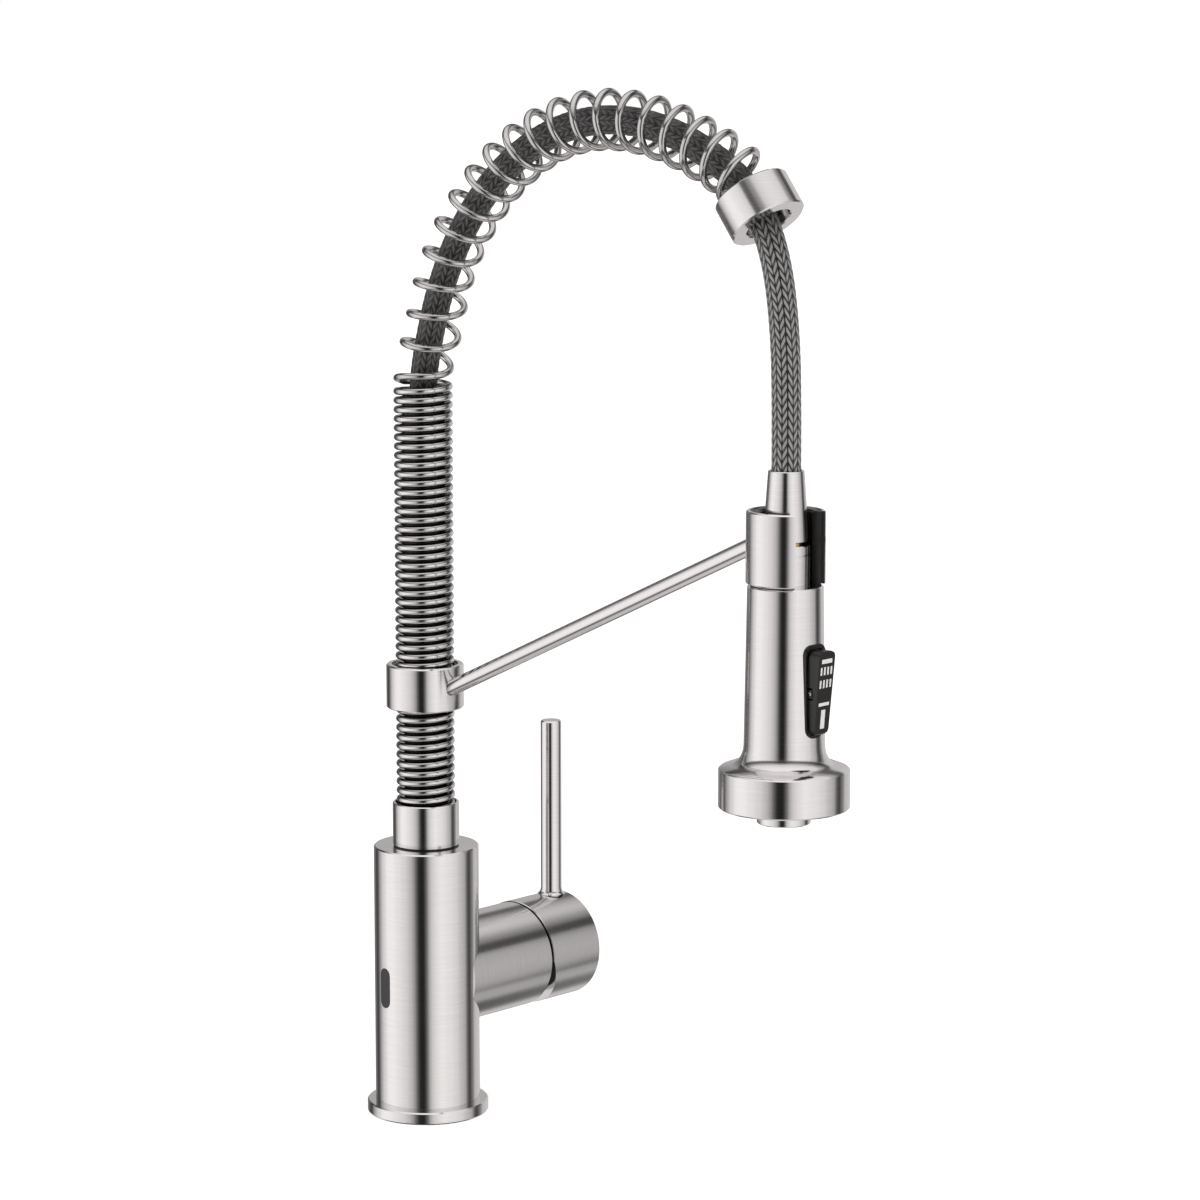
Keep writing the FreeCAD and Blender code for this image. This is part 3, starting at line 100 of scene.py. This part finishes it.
LAMPS_FACE = -47.4                      # the direction the lamps are counted from, degrees
LAMPS = [                               # degrees to the right of that direction, brightness
    (-180, 0.50), (-165, 0.28), (-150, 0.16), (-138, 0.05), (-130, 0.12), (-120, 0.46),
    (-108, 0.80), (-92, 1.06), (-80, 1.08), (-62, 0.96), (-46, 0.82), (-34, 0.62),
    (-26, 0.40), (-20, 0.13), (-14, 0.02), (-4, 0.015), (2, 0.14), (8, 0.52), (14, 0.76),
    (24, 0.92), (34, 1.02), (54, 0.94), (70, 0.82), (83, 0.62), (95, 0.48), (102, 0.14),
    (110, 0.05), (119, 0.20), (134, 0.60), (155, 0.66), (179.9, 0.50)]
HEIGHTS = [                             # height on the sky, brightness, how far it hides the lamps
    (-1.0, 0.75, 1.0), (-0.90, 0.6, 1.0), (-0.83, 0.14, 0.95), (-0.72, 0.06, 0.95),
    (-0.64, 0.55, 0.8), (-0.57, 0.72, 0.55), (-0.46, 0.7, 0.0), (0.38, 0.6, 0.0),
    (0.46, 0.05, 0.9), (0.56, 0.05, 0.9), (0.65, 0.36, 0.8), (0.76, 0.85, 0.95),
    (1.0, 1.05, 1.0)]
world = bpy.data.worlds.new("studio")
bpy.context.scene.world = world
world.use_nodes = True
tree = world.node_tree
tree.nodes.clear()
direction = tree.nodes.new("ShaderNodeTexCoord")
split = tree.nodes.new("ShaderNodeSeparateXYZ")
tree.links.new(direction.outputs["Generated"], split.inputs[0])
round_angle = tree.nodes.new("ShaderNodeMath")
round_angle.operation = "ARCTAN2"
tree.links.new(split.outputs["Y"], round_angle.inputs[0])
tree.links.new(split.outputs["X"], round_angle.inputs[1])
turns_round = tree.nodes.new("ShaderNodeMath")
turns_round.operation = "MULTIPLY_ADD"
turns_round.inputs[1].default_value = 0.5 / math.pi
turns_round.inputs[2].default_value = 0.5 - LAMPS_FACE / 360
tree.links.new(round_angle.outputs[0], turns_round.inputs[0])
wrapped = tree.nodes.new("ShaderNodeMath")
wrapped.operation = "FRACT"
tree.links.new(turns_round.outputs[0], wrapped.inputs[0])
how_high = tree.nodes.new("ShaderNodeMath")
how_high.operation = "MULTIPLY_ADD"
how_high.inputs[1].default_value = 0.5
how_high.inputs[2].default_value = 0.5
tree.links.new(split.outputs["Z"], how_high.inputs[0])


def light_ramp(source, stops):
    """A ramp of grey lights from 0 to 1 along source."""
    ramp = tree.nodes.new("ShaderNodeValToRGB")
    ramp.color_ramp.interpolation = "EASE"
    elements = ramp.color_ramp.elements
    elements[0].position = 0.0
    elements[1].position = 1.0
    for place, glow in stops[1:-1]:
        elements.new(place)
    for element, (place, glow) in zip(sorted(elements, key=lambda item: item.position), stops):
        element.color = (glow, glow * 0.974, glow * 0.968, 1)
    tree.links.new(source.outputs[0], ramp.inputs[0])
    return ramp


lamps = light_ramp(wrapped, [((degrees + 180) / 360, glow) for degrees, glow in LAMPS])
bands = light_ramp(how_high, [(high / 2 + 0.5, glow) for high, glow, hides in HEIGHTS])
hiding = light_ramp(how_high, [(high / 2 + 0.5, hides) for high, glow, hides in HEIGHTS])
sky = tree.nodes.new("ShaderNodeMix")
sky.data_type = "RGBA"
tree.links.new(hiding.outputs[0], sky.inputs["Factor"])
tree.links.new(lamps.outputs[0], sky.inputs["A"])
tree.links.new(bands.outputs[0], sky.inputs["B"])
soft_light = tree.nodes.new("ShaderNodeBackground")
tree.links.new(sky.outputs["Result"], soft_light.inputs["Color"])
backdrop = tree.nodes.new("ShaderNodeBackground")
backdrop.inputs["Color"].default_value = (1, 1, 1, 1)
seen = tree.nodes.new("ShaderNodeLightPath")
either = tree.nodes.new("ShaderNodeMixShader")
tree.links.new(seen.outputs["Is Camera Ray"], either.inputs[0])
tree.links.new(soft_light.outputs[0], either.inputs[1])
tree.links.new(backdrop.outputs[0], either.inputs[2])
world_out = tree.nodes.new("ShaderNodeOutputWorld")
tree.links.new(either.outputs[0], world_out.inputs[0])

bpy.ops.mesh.primitive_circle_add(
    vertices=96, radius=12.0, fill_type="NGON", location=(0, 0, -0.0002))
floor = bpy.context.active_object
floor.name = "floor"
floor_paint = bpy.data.materials.new("floor_paint")
floor_paint.use_nodes = True
floor_shader = floor_paint.node_tree.nodes["Principled BSDF"]
floor_shader.inputs["Base Color"].default_value = (0.92, 0.92, 0.92, 1)
floor_shader.inputs["Roughness"].default_value = 0.9
floor_shader.inputs["Specular IOR Level"].default_value = 0.0
floor_shader.inputs["Emission Color"].default_value = (1, 1, 1, 1)
floor_shader.inputs["Emission Strength"].default_value = 0.65
floor.data.materials.append(floor_paint)
floor.visible_glossy = False


# Base flange and body -------------------------------------------------------
# The flange is a turned steel ring that covers the hole in the deck, and the body is a
# thick turned tube on it. Both are brushed round, so the strokes lie level. The gasket is
# black rubber, pressed between the flange and the deck.

def steel(name, tone, roughness, lines, scratch=0.02, depth=0.035):
    """Brushed stainless steel. lines is the fineness along X, Y and Z, in strokes per metre."""
    metal = bpy.data.materials.new(name)
    metal.use_nodes = True
    nodes = metal.node_tree.nodes
    links = metal.node_tree.links
    shader = nodes["Principled BSDF"]
    shader.inputs["Metallic"].default_value = 1.0
    place = nodes.new("ShaderNodeTexCoord")
    spread = nodes.new("ShaderNodeMapping")
    spread.inputs["Scale"].default_value = lines
    links.new(place.outputs["Object"], spread.inputs["Vector"])
    strokes = nodes.new("ShaderNodeTexNoise")
    strokes.inputs["Scale"].default_value = 1.0
    strokes.inputs["Detail"].default_value = 3.0
    links.new(spread.outputs[0], strokes.inputs["Vector"])
    haze = nodes.new("ShaderNodeTexNoise")
    haze.inputs["Scale"].default_value = 45.0
    haze.inputs["Detail"].default_value = 2.0
    links.new(place.outputs["Object"], haze.inputs["Vector"])
    colour = nodes.new("ShaderNodeValToRGB")
    colour.color_ramp.elements[0].position = 0.3
    colour.color_ramp.elements[0].color = tuple(part * 0.965 for part in tone) + (1,)
    colour.color_ramp.elements[1].position = 0.7
    colour.color_ramp.elements[1].color = tuple(min(1, part * 1.03) for part in tone) + (1,)
    links.new(strokes.outputs["Fac"], colour.inputs[0])
    links.new(colour.outputs[0], shader.inputs["Base Color"])
    both = nodes.new("ShaderNodeMath")
    both.operation = "ADD"
    links.new(strokes.outputs["Fac"], both.inputs[0])
    links.new(haze.outputs["Fac"], both.inputs[1])
    rough = nodes.new("ShaderNodeMapRange")
    rough.inputs["From Min"].default_value = 0.6
    rough.inputs["From Max"].default_value = 1.4
    rough.inputs["To Min"].default_value = roughness - scratch
    rough.inputs["To Max"].default_value = roughness + scratch
    links.new(both.outputs[0], rough.inputs["Value"])
    links.new(rough.outputs[0], shader.inputs["Roughness"])
    relief = nodes.new("ShaderNodeBump")
    relief.inputs["Strength"].default_value = depth
    relief.inputs["Distance"].default_value = 0.0002
    links.new(strokes.outputs["Fac"], relief.inputs["Height"])
    links.new(relief.outputs[0], shader.inputs["Normal"])
    return metal


def dressed(node, finish):
    """Gives a node its finish in place of the plain one it was loaded with."""
    mesh = frame["nodes"][node].data
    mesh.materials.clear()
    mesh.materials.append(finish)


def finished(node, finish, crease=32.0):
    """The node's surface with its triangles joined and its round faces shaded smooth."""
    dressed(node, finish)
    source = frame["nodes"][node]
    piece = bpy.data.objects.new(node + ".finished", source.data.copy())
    bpy.context.scene.collection.objects.link(piece)
    work = bmesh.new()
    work.from_mesh(piece.data)
    bmesh.ops.remove_doubles(work, verts=work.verts, dist=2e-6)
    for face in work.faces:
        face.smooth = True
    for edge in work.edges:
        edge.smooth = len(edge.link_faces) == 2 and edge.calc_face_angle(4.0) < math.radians(crease)
    work.to_mesh(piece.data)
    work.free()
    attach(piece, source["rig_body"])
    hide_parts(node)
    return piece


def moulded(name, tone, roughness, grain=900.0, depth=0.08):
    """Moulded plastic or rubber with a fine mould grain."""
    plastic = bpy.data.materials.new(name)
    plastic.use_nodes = True
    nodes = plastic.node_tree.nodes
    links = plastic.node_tree.links
    shader = nodes["Principled BSDF"]
    place = nodes.new("ShaderNodeTexCoord")
    speckle = nodes.new("ShaderNodeTexNoise")
    speckle.inputs["Scale"].default_value = grain
    speckle.inputs["Detail"].default_value = 2.0
    links.new(place.outputs["Object"], speckle.inputs["Vector"])
    colour = nodes.new("ShaderNodeValToRGB")
    colour.color_ramp.elements[0].color = tuple(part * 0.85 for part in tone) + (1,)
    colour.color_ramp.elements[1].color = tuple(min(1, part * 1.15) for part in tone) + (1,)
    links.new(speckle.outputs["Fac"], colour.inputs[0])
    links.new(colour.outputs[0], shader.inputs["Base Color"])
    rough = nodes.new("ShaderNodeMapRange")
    rough.inputs["To Min"].default_value = roughness - 0.06
    rough.inputs["To Max"].default_value = roughness + 0.06
    links.new(speckle.outputs["Fac"], rough.inputs["Value"])
    links.new(rough.outputs[0], shader.inputs["Roughness"])
    relief = nodes.new("ShaderNodeBump")
    relief.inputs["Strength"].default_value = depth
    relief.inputs["Distance"].default_value = 0.0001
    links.new(speckle.outputs["Fac"], relief.inputs["Height"])
    links.new(relief.outputs[0], shader.inputs["Normal"])
    return plastic


SATIN = (0.80, 0.789, 0.786)
brushed_round = steel("brushed_round", SATIN, 0.125, (60, 60, 2600))
black_rubber = moulded("black_rubber", (0.02, 0.02, 0.02), 0.65)
finished("base_flange", brushed_round)
finished("main_body", brushed_round)
finished("base_gasket", black_rubber)


# Fixings under the deck -----------------------------------------------------
# A brass threaded shank goes down through the deck, and a rubber washer, a steel washer
# and a brass nut with two jack screws clamp the faucet from below.

cast_brass = steel("cast_brass", (0.78, 0.6, 0.3), 0.28, (300, 300, 900))
machined = steel("machined", (0.62, 0.62, 0.61), 0.28, (300, 300, 900))
finished("mounting_shank", cast_brass)
finished("rubber_washer", black_rubber)
finished("steel_washer", machined)
finished("mounting_nut", cast_brass)
finished("jack_screws", machined)


# Sensor in the body ---------------------------------------------------------
# A smoked glossy window lies nearly flush in the front of the body, and its black plastic
# module sits behind it in the wall.

black_plastic = moulded("black_plastic", (0.013, 0.0125, 0.012), 0.36)
smoked_lens = moulded("smoked_lens", (0.012, 0.012, 0.013), 0.14, 300.0, 0.01)
finished("sensor_window", smoked_lens)
dressed("sensor_module", black_plastic)


# Valve and its housing ------------------------------------------------------
# A steel sleeve stands out sideways from the body. The cartridge inside it is a grey
# plastic can with ceramic discs, held by a brass nut, and a black bonnet closes the mouth.

brushed_sleeve = steel("brushed_sleeve", SATIN, 0.16, (60, 2600, 60))
grey_plastic = moulded("grey_plastic", (0.3, 0.31, 0.32), 0.5)
white_plastic = moulded("white_plastic", (0.8, 0.8, 0.78), 0.45)
lapped_ceramic = moulded("lapped_ceramic", (0.84, 0.83, 0.79), 0.3)
finished("valve_housing", brushed_sleeve)
finished("bonnet", black_plastic)
dressed("cartridge_can", grey_plastic)
dressed("cartridge_seals", black_rubber)
dressed("fixed_disc", lapped_ceramic)
dressed("moving_disc", lapped_ceramic)
dressed("cartridge_nut", cast_brass)


# Lever ----------------------------------------------------------------------
# The hub is a turned steel cap over the cartridge stem, clamped by a grub screw under a
# rubber plug. A slim brushed rod screwed into its top is the handle.

brushed_rod = steel("brushed_rod", SATIN, 0.1, (60, 60, 2200), 0.015, 0.02)
finished("lever_hub", brushed_sleeve)
finished("lever_rod", brushed_rod)
finished("hub_plug", black_rubber)
dressed("stem_carrier", white_plastic)
dressed("pivot_pin", machined)
dressed("cartridge_stem", machined)
dressed("hub_grub_screw", machined)


# Swivel and spring seat -----------------------------------------------------
# The seat is a turned steel cup that turns on the body in a plastic bush, with two rubber
# rings and a clip on its spigot. The black support tube stands in it inside the spring.

finished("spring_seat", brushed_round)
finished("swivel_bush", black_plastic)
finished("support_tube", black_plastic)
dressed("swivel_clip", machined)
dressed("swivel_rings", black_rubber)


# Springs and guide ring -----------------------------------------------------
# Bright round steel wire, wound close round the column and open round the arch. The dark
# gaps between the close turns are painted shade: the wire's colour goes near black where its
# face looks up or down. The last turn sits in a turned ring that guides the hose.

bright_wire = steel("bright_wire", (0.62, 0.611, 0.607), 0.1, (500, 500, 500), 0.02, 0.02)
wound_wire = steel("wound_wire", (0.76, 0.75, 0.745), 0.12, (500, 500, 500), 0.02, 0.02)
nodes = wound_wire.node_tree.nodes
links = wound_wire.node_tree.links
drawn_colour = nodes["Principled BSDF"].inputs["Base Color"].links[0].from_socket
# Painted shade between the close turns: the colour darkens to near black on wire faces that look up
# or down.
facing = nodes.new("ShaderNodeTexCoord")
upward = nodes.new("ShaderNodeSeparateXYZ")
links.new(facing.outputs["Normal"], upward.inputs[0])
level = nodes.new("ShaderNodeMath")
level.operation = "ABSOLUTE"
links.new(upward.outputs["Z"], level.inputs[0])
painted_gap_shade = nodes.new("ShaderNodeMapRange")
painted_gap_shade.interpolation_type = "SMOOTHSTEP"
painted_gap_shade.inputs["From Min"].default_value = 0.45
painted_gap_shade.inputs["From Max"].default_value = 0.93
links.new(level.outputs[0], painted_gap_shade.inputs["Value"])
shaded = nodes.new("ShaderNodeMix")
shaded.data_type = "RGBA"
shaded.inputs["B"].default_value = (0.03, 0.03, 0.03, 1)
links.new(painted_gap_shade.outputs[0], shaded.inputs["Factor"])
links.new(drawn_colour, shaded.inputs["A"])
links.new(shaded.outputs["Result"], nodes["Principled BSDF"].inputs["Base Color"])
finished("column_spring", wound_wire, 60.0)
finished("arch_spring", bright_wire, 60.0)
finished("guide_ring", brushed_round)


# Arm and dock ---------------------------------------------------------------
# A collar clamped round the column on a black liner carries a brushed rod, which ends in
# the dock: a short steel ring with a black liner that holds the spray head.

brushed_arm = steel("brushed_arm", SATIN, 0.15, (2200, 60, 60))
finished("arm_collar", brushed_round)
finished("collar_liner", black_plastic)
finished("collar_grub_screw", machined)
finished("arm_rod", brushed_arm)
finished("dock_ring", brushed_round)
finished("dock_liner", black_plastic)
finished("dock_grub_screw", machined)


# Hose -----------------------------------------------------------------------
# Nylon braided hose, one length from under the deck, up inside the column, round the arch
# inside the open spring, through the guide ring and down to its nut. Its braid is eight
# columns of slanting strands. Its colour is painted near black down in the grooves, painted
# shade, and darker still with painted shade where the spring covers it.

HOSE_ROUTE = [
    (0, -0.044), (0, 0.318), (0, 0.338), (0.0043, 0.3575), (0.012, 0.3818), (0.0256, 0.4075),
    (0.045, 0.4296), (0.0701, 0.447), (0.0978, 0.4563), (0.125, 0.4575), (0.1503, 0.4527),
    (0.1724, 0.4432), (0.189, 0.4325), (0.2005, 0.4175), (0.2075, 0.399), (0.2112, 0.376),
    (0.2128, 0.348), (0.2128, 0.3095)]
HOSE_RADIUS = 0.00625
HOSE_SHOWS_FROM = 0.320
BRAID_COLUMNS = 8
BRAID_PITCH = 0.0038
BRAID_SLANT = 1.2                       # strands that one strand leans over
BRAID_DEPTH = 0.0004
STRAND_ROUNDNESS = 0.6
EDGE_SHARPNESS, EDGE_DIP = 14, 0.7      # the groove between two columns
SPINE_SHARPNESS, SPINE_DIP = 20, 0.5    # the fold in the middle of a column
# Where the spring covers the hose, the braid's colour is darkened to COVERED_SHADE as painted
# shade, fading out between these two lengths.
COVERED_UNTIL, OPEN_FROM = 0.115, 0.095  # lengths of hose above the nut
COVERED_SHADE = 0.27
STEP_SHOWN = 0.00045
STEP_HIDDEN = 0.012
FACES_ROUND = 80
route_curve = bpy.data.curves.new("hose_route", "CURVE")
route_curve.dimensions = "3D"
route_curve.resolution_u = 24
run = route_curve.splines.new("NURBS")
run.points.add(len(HOSE_ROUTE) - 1)
for point, (x, z) in zip(run.points, HOSE_ROUTE):
    point.co = (x, 0, z, 1)
run.order_u = 3
run.use_endpoint_u = True
route_object = bpy.data.objects.new("hose_route", route_curve)
bpy.context.scene.collection.objects.link(route_object)
route_mesh = bpy.data.meshes.new_from_object(route_object)
hose_line = np.array([vertex.co for vertex in route_mesh.vertices], float)
bpy.data.objects.remove(route_object)
run_lengths = np.concatenate([[0], np.cumsum(np.linalg.norm(np.diff(hose_line, axis=0), axis=1))])
hose_length = run_lengths[-1]
first_shown = run_lengths[np.argmax(hose_line[:, 2] > HOSE_SHOWS_FROM)]
stations = np.concatenate([np.arange(0, first_shown, STEP_HIDDEN),
                           np.arange(first_shown, hose_length, STEP_SHOWN), [hose_length]])
centre = np.stack(
    [np.interp(stations, run_lengths, hose_line[:, axis]) for axis in range(3)], axis=1)
ahead = np.gradient(centre, stations, axis=0)
ahead /= np.linalg.norm(ahead, axis=1)[:, None]
sideways = np.array([0.0, 1.0, 0.0])
across = np.cross(ahead, sideways)
around = np.arange(FACES_ROUND) / FACES_ROUND
lane = (around * BRAID_COLUMNS)[None, :] % 1.0
slant = np.abs(lane - 0.5) * 2.0
strand = (stations[:, None] / BRAID_PITCH + slant * BRAID_SLANT) % 1.0
swell = np.clip(np.sin(math.pi * strand), 0, 1) ** STRAND_ROUNDNESS
edge_dip = 1 - np.clip(1 - np.minimum(lane, 1 - lane) * EDGE_SHARPNESS, 0, 1) * EDGE_DIP
spine_dip = 1 - np.clip(1 - np.abs(lane - 0.5) * SPINE_SHARPNESS, 0, 1) * SPINE_DIP
height = swell * edge_dip * spine_dip
radius = HOSE_RADIUS - BRAID_DEPTH * (1 - height)
turn = 2 * math.pi * around[None, :]
skin = (centre[:, None, :] + across[:, None, :] * (radius * np.cos(turn))[..., None]
        + sideways[None, None, :] * (radius * np.sin(turn))[..., None])
rings = len(stations)
corners = np.arange(rings * FACES_ROUND).reshape(rings, FACES_ROUND)
nearer, further = corners[:-1], corners[1:]
quads = np.stack([nearer, np.roll(nearer, -1, 1), np.roll(further, -1, 1), further],
                 axis=-1).reshape(-1, 4)
hose_mesh = bpy.data.meshes.new("hose")
hose_mesh.from_pydata(skin.reshape(-1, 3).tolist(), [],
                      quads.tolist() + [corners[0][::-1].tolist(), corners[-1].tolist()])
hose_mesh.shade_smooth()
strand_height = hose_mesh.attributes.new("strand", "FLOAT", "POINT")
strand_height.data.foreach_set("value", height.astype(np.float32).ravel())
along_hose = hose_mesh.attributes.new("along", "FLOAT", "POINT")
along_hose.data.foreach_set("value", np.repeat(stations, FACES_ROUND).astype(np.float32))
hose = bpy.data.objects.new("hose", hose_mesh)
bpy.context.scene.collection.objects.link(hose)
outward = bmesh.new()
outward.from_mesh(hose_mesh)
bmesh.ops.recalc_face_normals(outward, faces=outward.faces)
outward.to_mesh(hose_mesh)
outward.free()
braid = bpy.data.materials.new("nylon_braid")
braid.use_nodes = True
nodes = braid.node_tree.nodes
links = braid.node_tree.links
shader = nodes["Principled BSDF"]
shader.inputs["Roughness"].default_value = 0.36
shader.inputs["Sheen Weight"].default_value = 0.2
# Painted shade in the braid's grooves: the colour goes near black where the strand height is low.
raised = nodes.new("ShaderNodeAttribute")
raised.attribute_name = "strand"
colour = nodes.new("ShaderNodeValToRGB")
colour.color_ramp.elements[0].position = 0.5
colour.color_ramp.elements[0].color = (0.006, 0.006, 0.006, 1)
colour.color_ramp.elements[1].position = 0.9
colour.color_ramp.elements[1].color = (0.36, 0.354, 0.348, 1)
links.new(raised.outputs["Fac"], colour.inputs[0])
# Painted shade where the spring covers the hose: the braid's colour is darkened along its length up
# to the guide ring.
place_along = nodes.new("ShaderNodeAttribute")
place_along.attribute_name = "along"
spring_shade_factor = nodes.new("ShaderNodeMapRange")
spring_shade_factor.inputs["From Min"].default_value = float(hose_length) - COVERED_UNTIL
spring_shade_factor.inputs["From Max"].default_value = float(hose_length) - OPEN_FROM
spring_shade_factor.inputs["To Min"].default_value = COVERED_SHADE
spring_shade_factor.inputs["To Max"].default_value = 1.0
links.new(place_along.outputs["Fac"], spring_shade_factor.inputs["Value"])
painted_spring_shade = nodes.new("ShaderNodeMix")
painted_spring_shade.data_type = "RGBA"
painted_spring_shade.inputs["A"].default_value = (0.008, 0.008, 0.008, 1)
links.new(spring_shade_factor.outputs[0], painted_spring_shade.inputs["Factor"])
links.new(colour.outputs[0], painted_spring_shade.inputs["B"])
links.new(painted_spring_shade.outputs["Result"], shader.inputs["Base Color"])
hose_mesh.materials.append(braid)
connector = finished("hose_connector", cast_brass)
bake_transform(hose)
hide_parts("spray_hose")


# Hose end -------------------------------------------------------------------
# The hose is crimped in a steel ferrule and held in the spray head by a brushed nut over a
# washer and a brass coupling that lets the head turn.

finished("hose_nut", brushed_round)
finished("hose_ferrule", machined)
dressed("hose_washer", black_rubber)
dressed("swivel_coupling", cast_brass)


# Spray head -----------------------------------------------------------------
# A brushed steel shell round a grey plastic core. Its face is a black plate with soft
# rubber nozzles, and a steel aerator with a fine screen stands in the middle.

finished("spray_shell", brushed_round)
finished("button_panel", black_plastic)
finished("spray_plate", black_plastic)
finished("spray_nozzles", black_rubber)
finished("aerator", brushed_round)
finished("aerator_screen", machined)
dressed("water_core", grey_plastic)
dressed("check_valve", white_plastic)
dressed("diverter_spool", white_plastic)
dressed("plate_gasket", black_rubber)
dressed("rocker_pin", machined)


# Spray rocker ---------------------------------------------------------------
# A black moulded rocker in the front panel changes the spray. Pads of white print on its
# face stand for the wide spray above and the single stream below.

finished("rocker_button", black_plastic)
MARK_THICK = 0.0001
MARKS = [                               # middle across, middle up, width, height
    (0.0, 0.2379, 0.0066, 0.0018), (0.0, 0.2196, 0.0066, 0.0014), (0.0, 0.2132, 0.0026, 0.0080)]
for column in range(4):
    MARKS.append(((column - 1.5) * 0.0021, 0.2338, 0.0010, 0.0034))
    MARKS.append(((column - 1.5) * 0.0021, 0.2283, 0.0010, 0.0034))
white_print = moulded("white_print", (0.82, 0.82, 0.80), 0.5, 2400.0, 0.02)
rocker_low, rocker_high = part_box("rocker_button")
for number, (across_face, up_face, wide, high) in enumerate(MARKS):
    bpy.ops.object.select_all(action="DESELECT")
    bpy.ops.mesh.primitive_grid_add(x_subdivisions=8, y_subdivisions=8, size=1.0,
                                    location=(rocker_high[0] + 0.004, across_face, up_face),
                                    rotation=(0, math.radians(90), 0))
    mark = bpy.context.active_object
    mark.name = f"rocker_mark_{number}"
    mark.scale = (high, wide, 1)
    bpy.ops.object.transform_apply(location=True, rotation=True, scale=True)
    wrap = mark.modifiers.new("wrap", "SHRINKWRAP")
    wrap.wrap_method = "PROJECT"
    wrap.target = frame["nodes"]["rocker_button"]
    wrap.use_project_x = True
    wrap.use_project_y = False
    wrap.use_project_z = False
    wrap.use_negative_direction = True
    wrap.use_positive_direction = False
    bpy.ops.object.modifier_apply(modifier="wrap")
    thick = mark.modifiers.new("thick", "SOLIDIFY")
    thick.thickness = 2 * MARK_THICK
    thick.offset = 0
    bpy.ops.object.modifier_apply(modifier="thick")
    mark.data.materials.append(white_print)
    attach(mark, "mode_rocker")
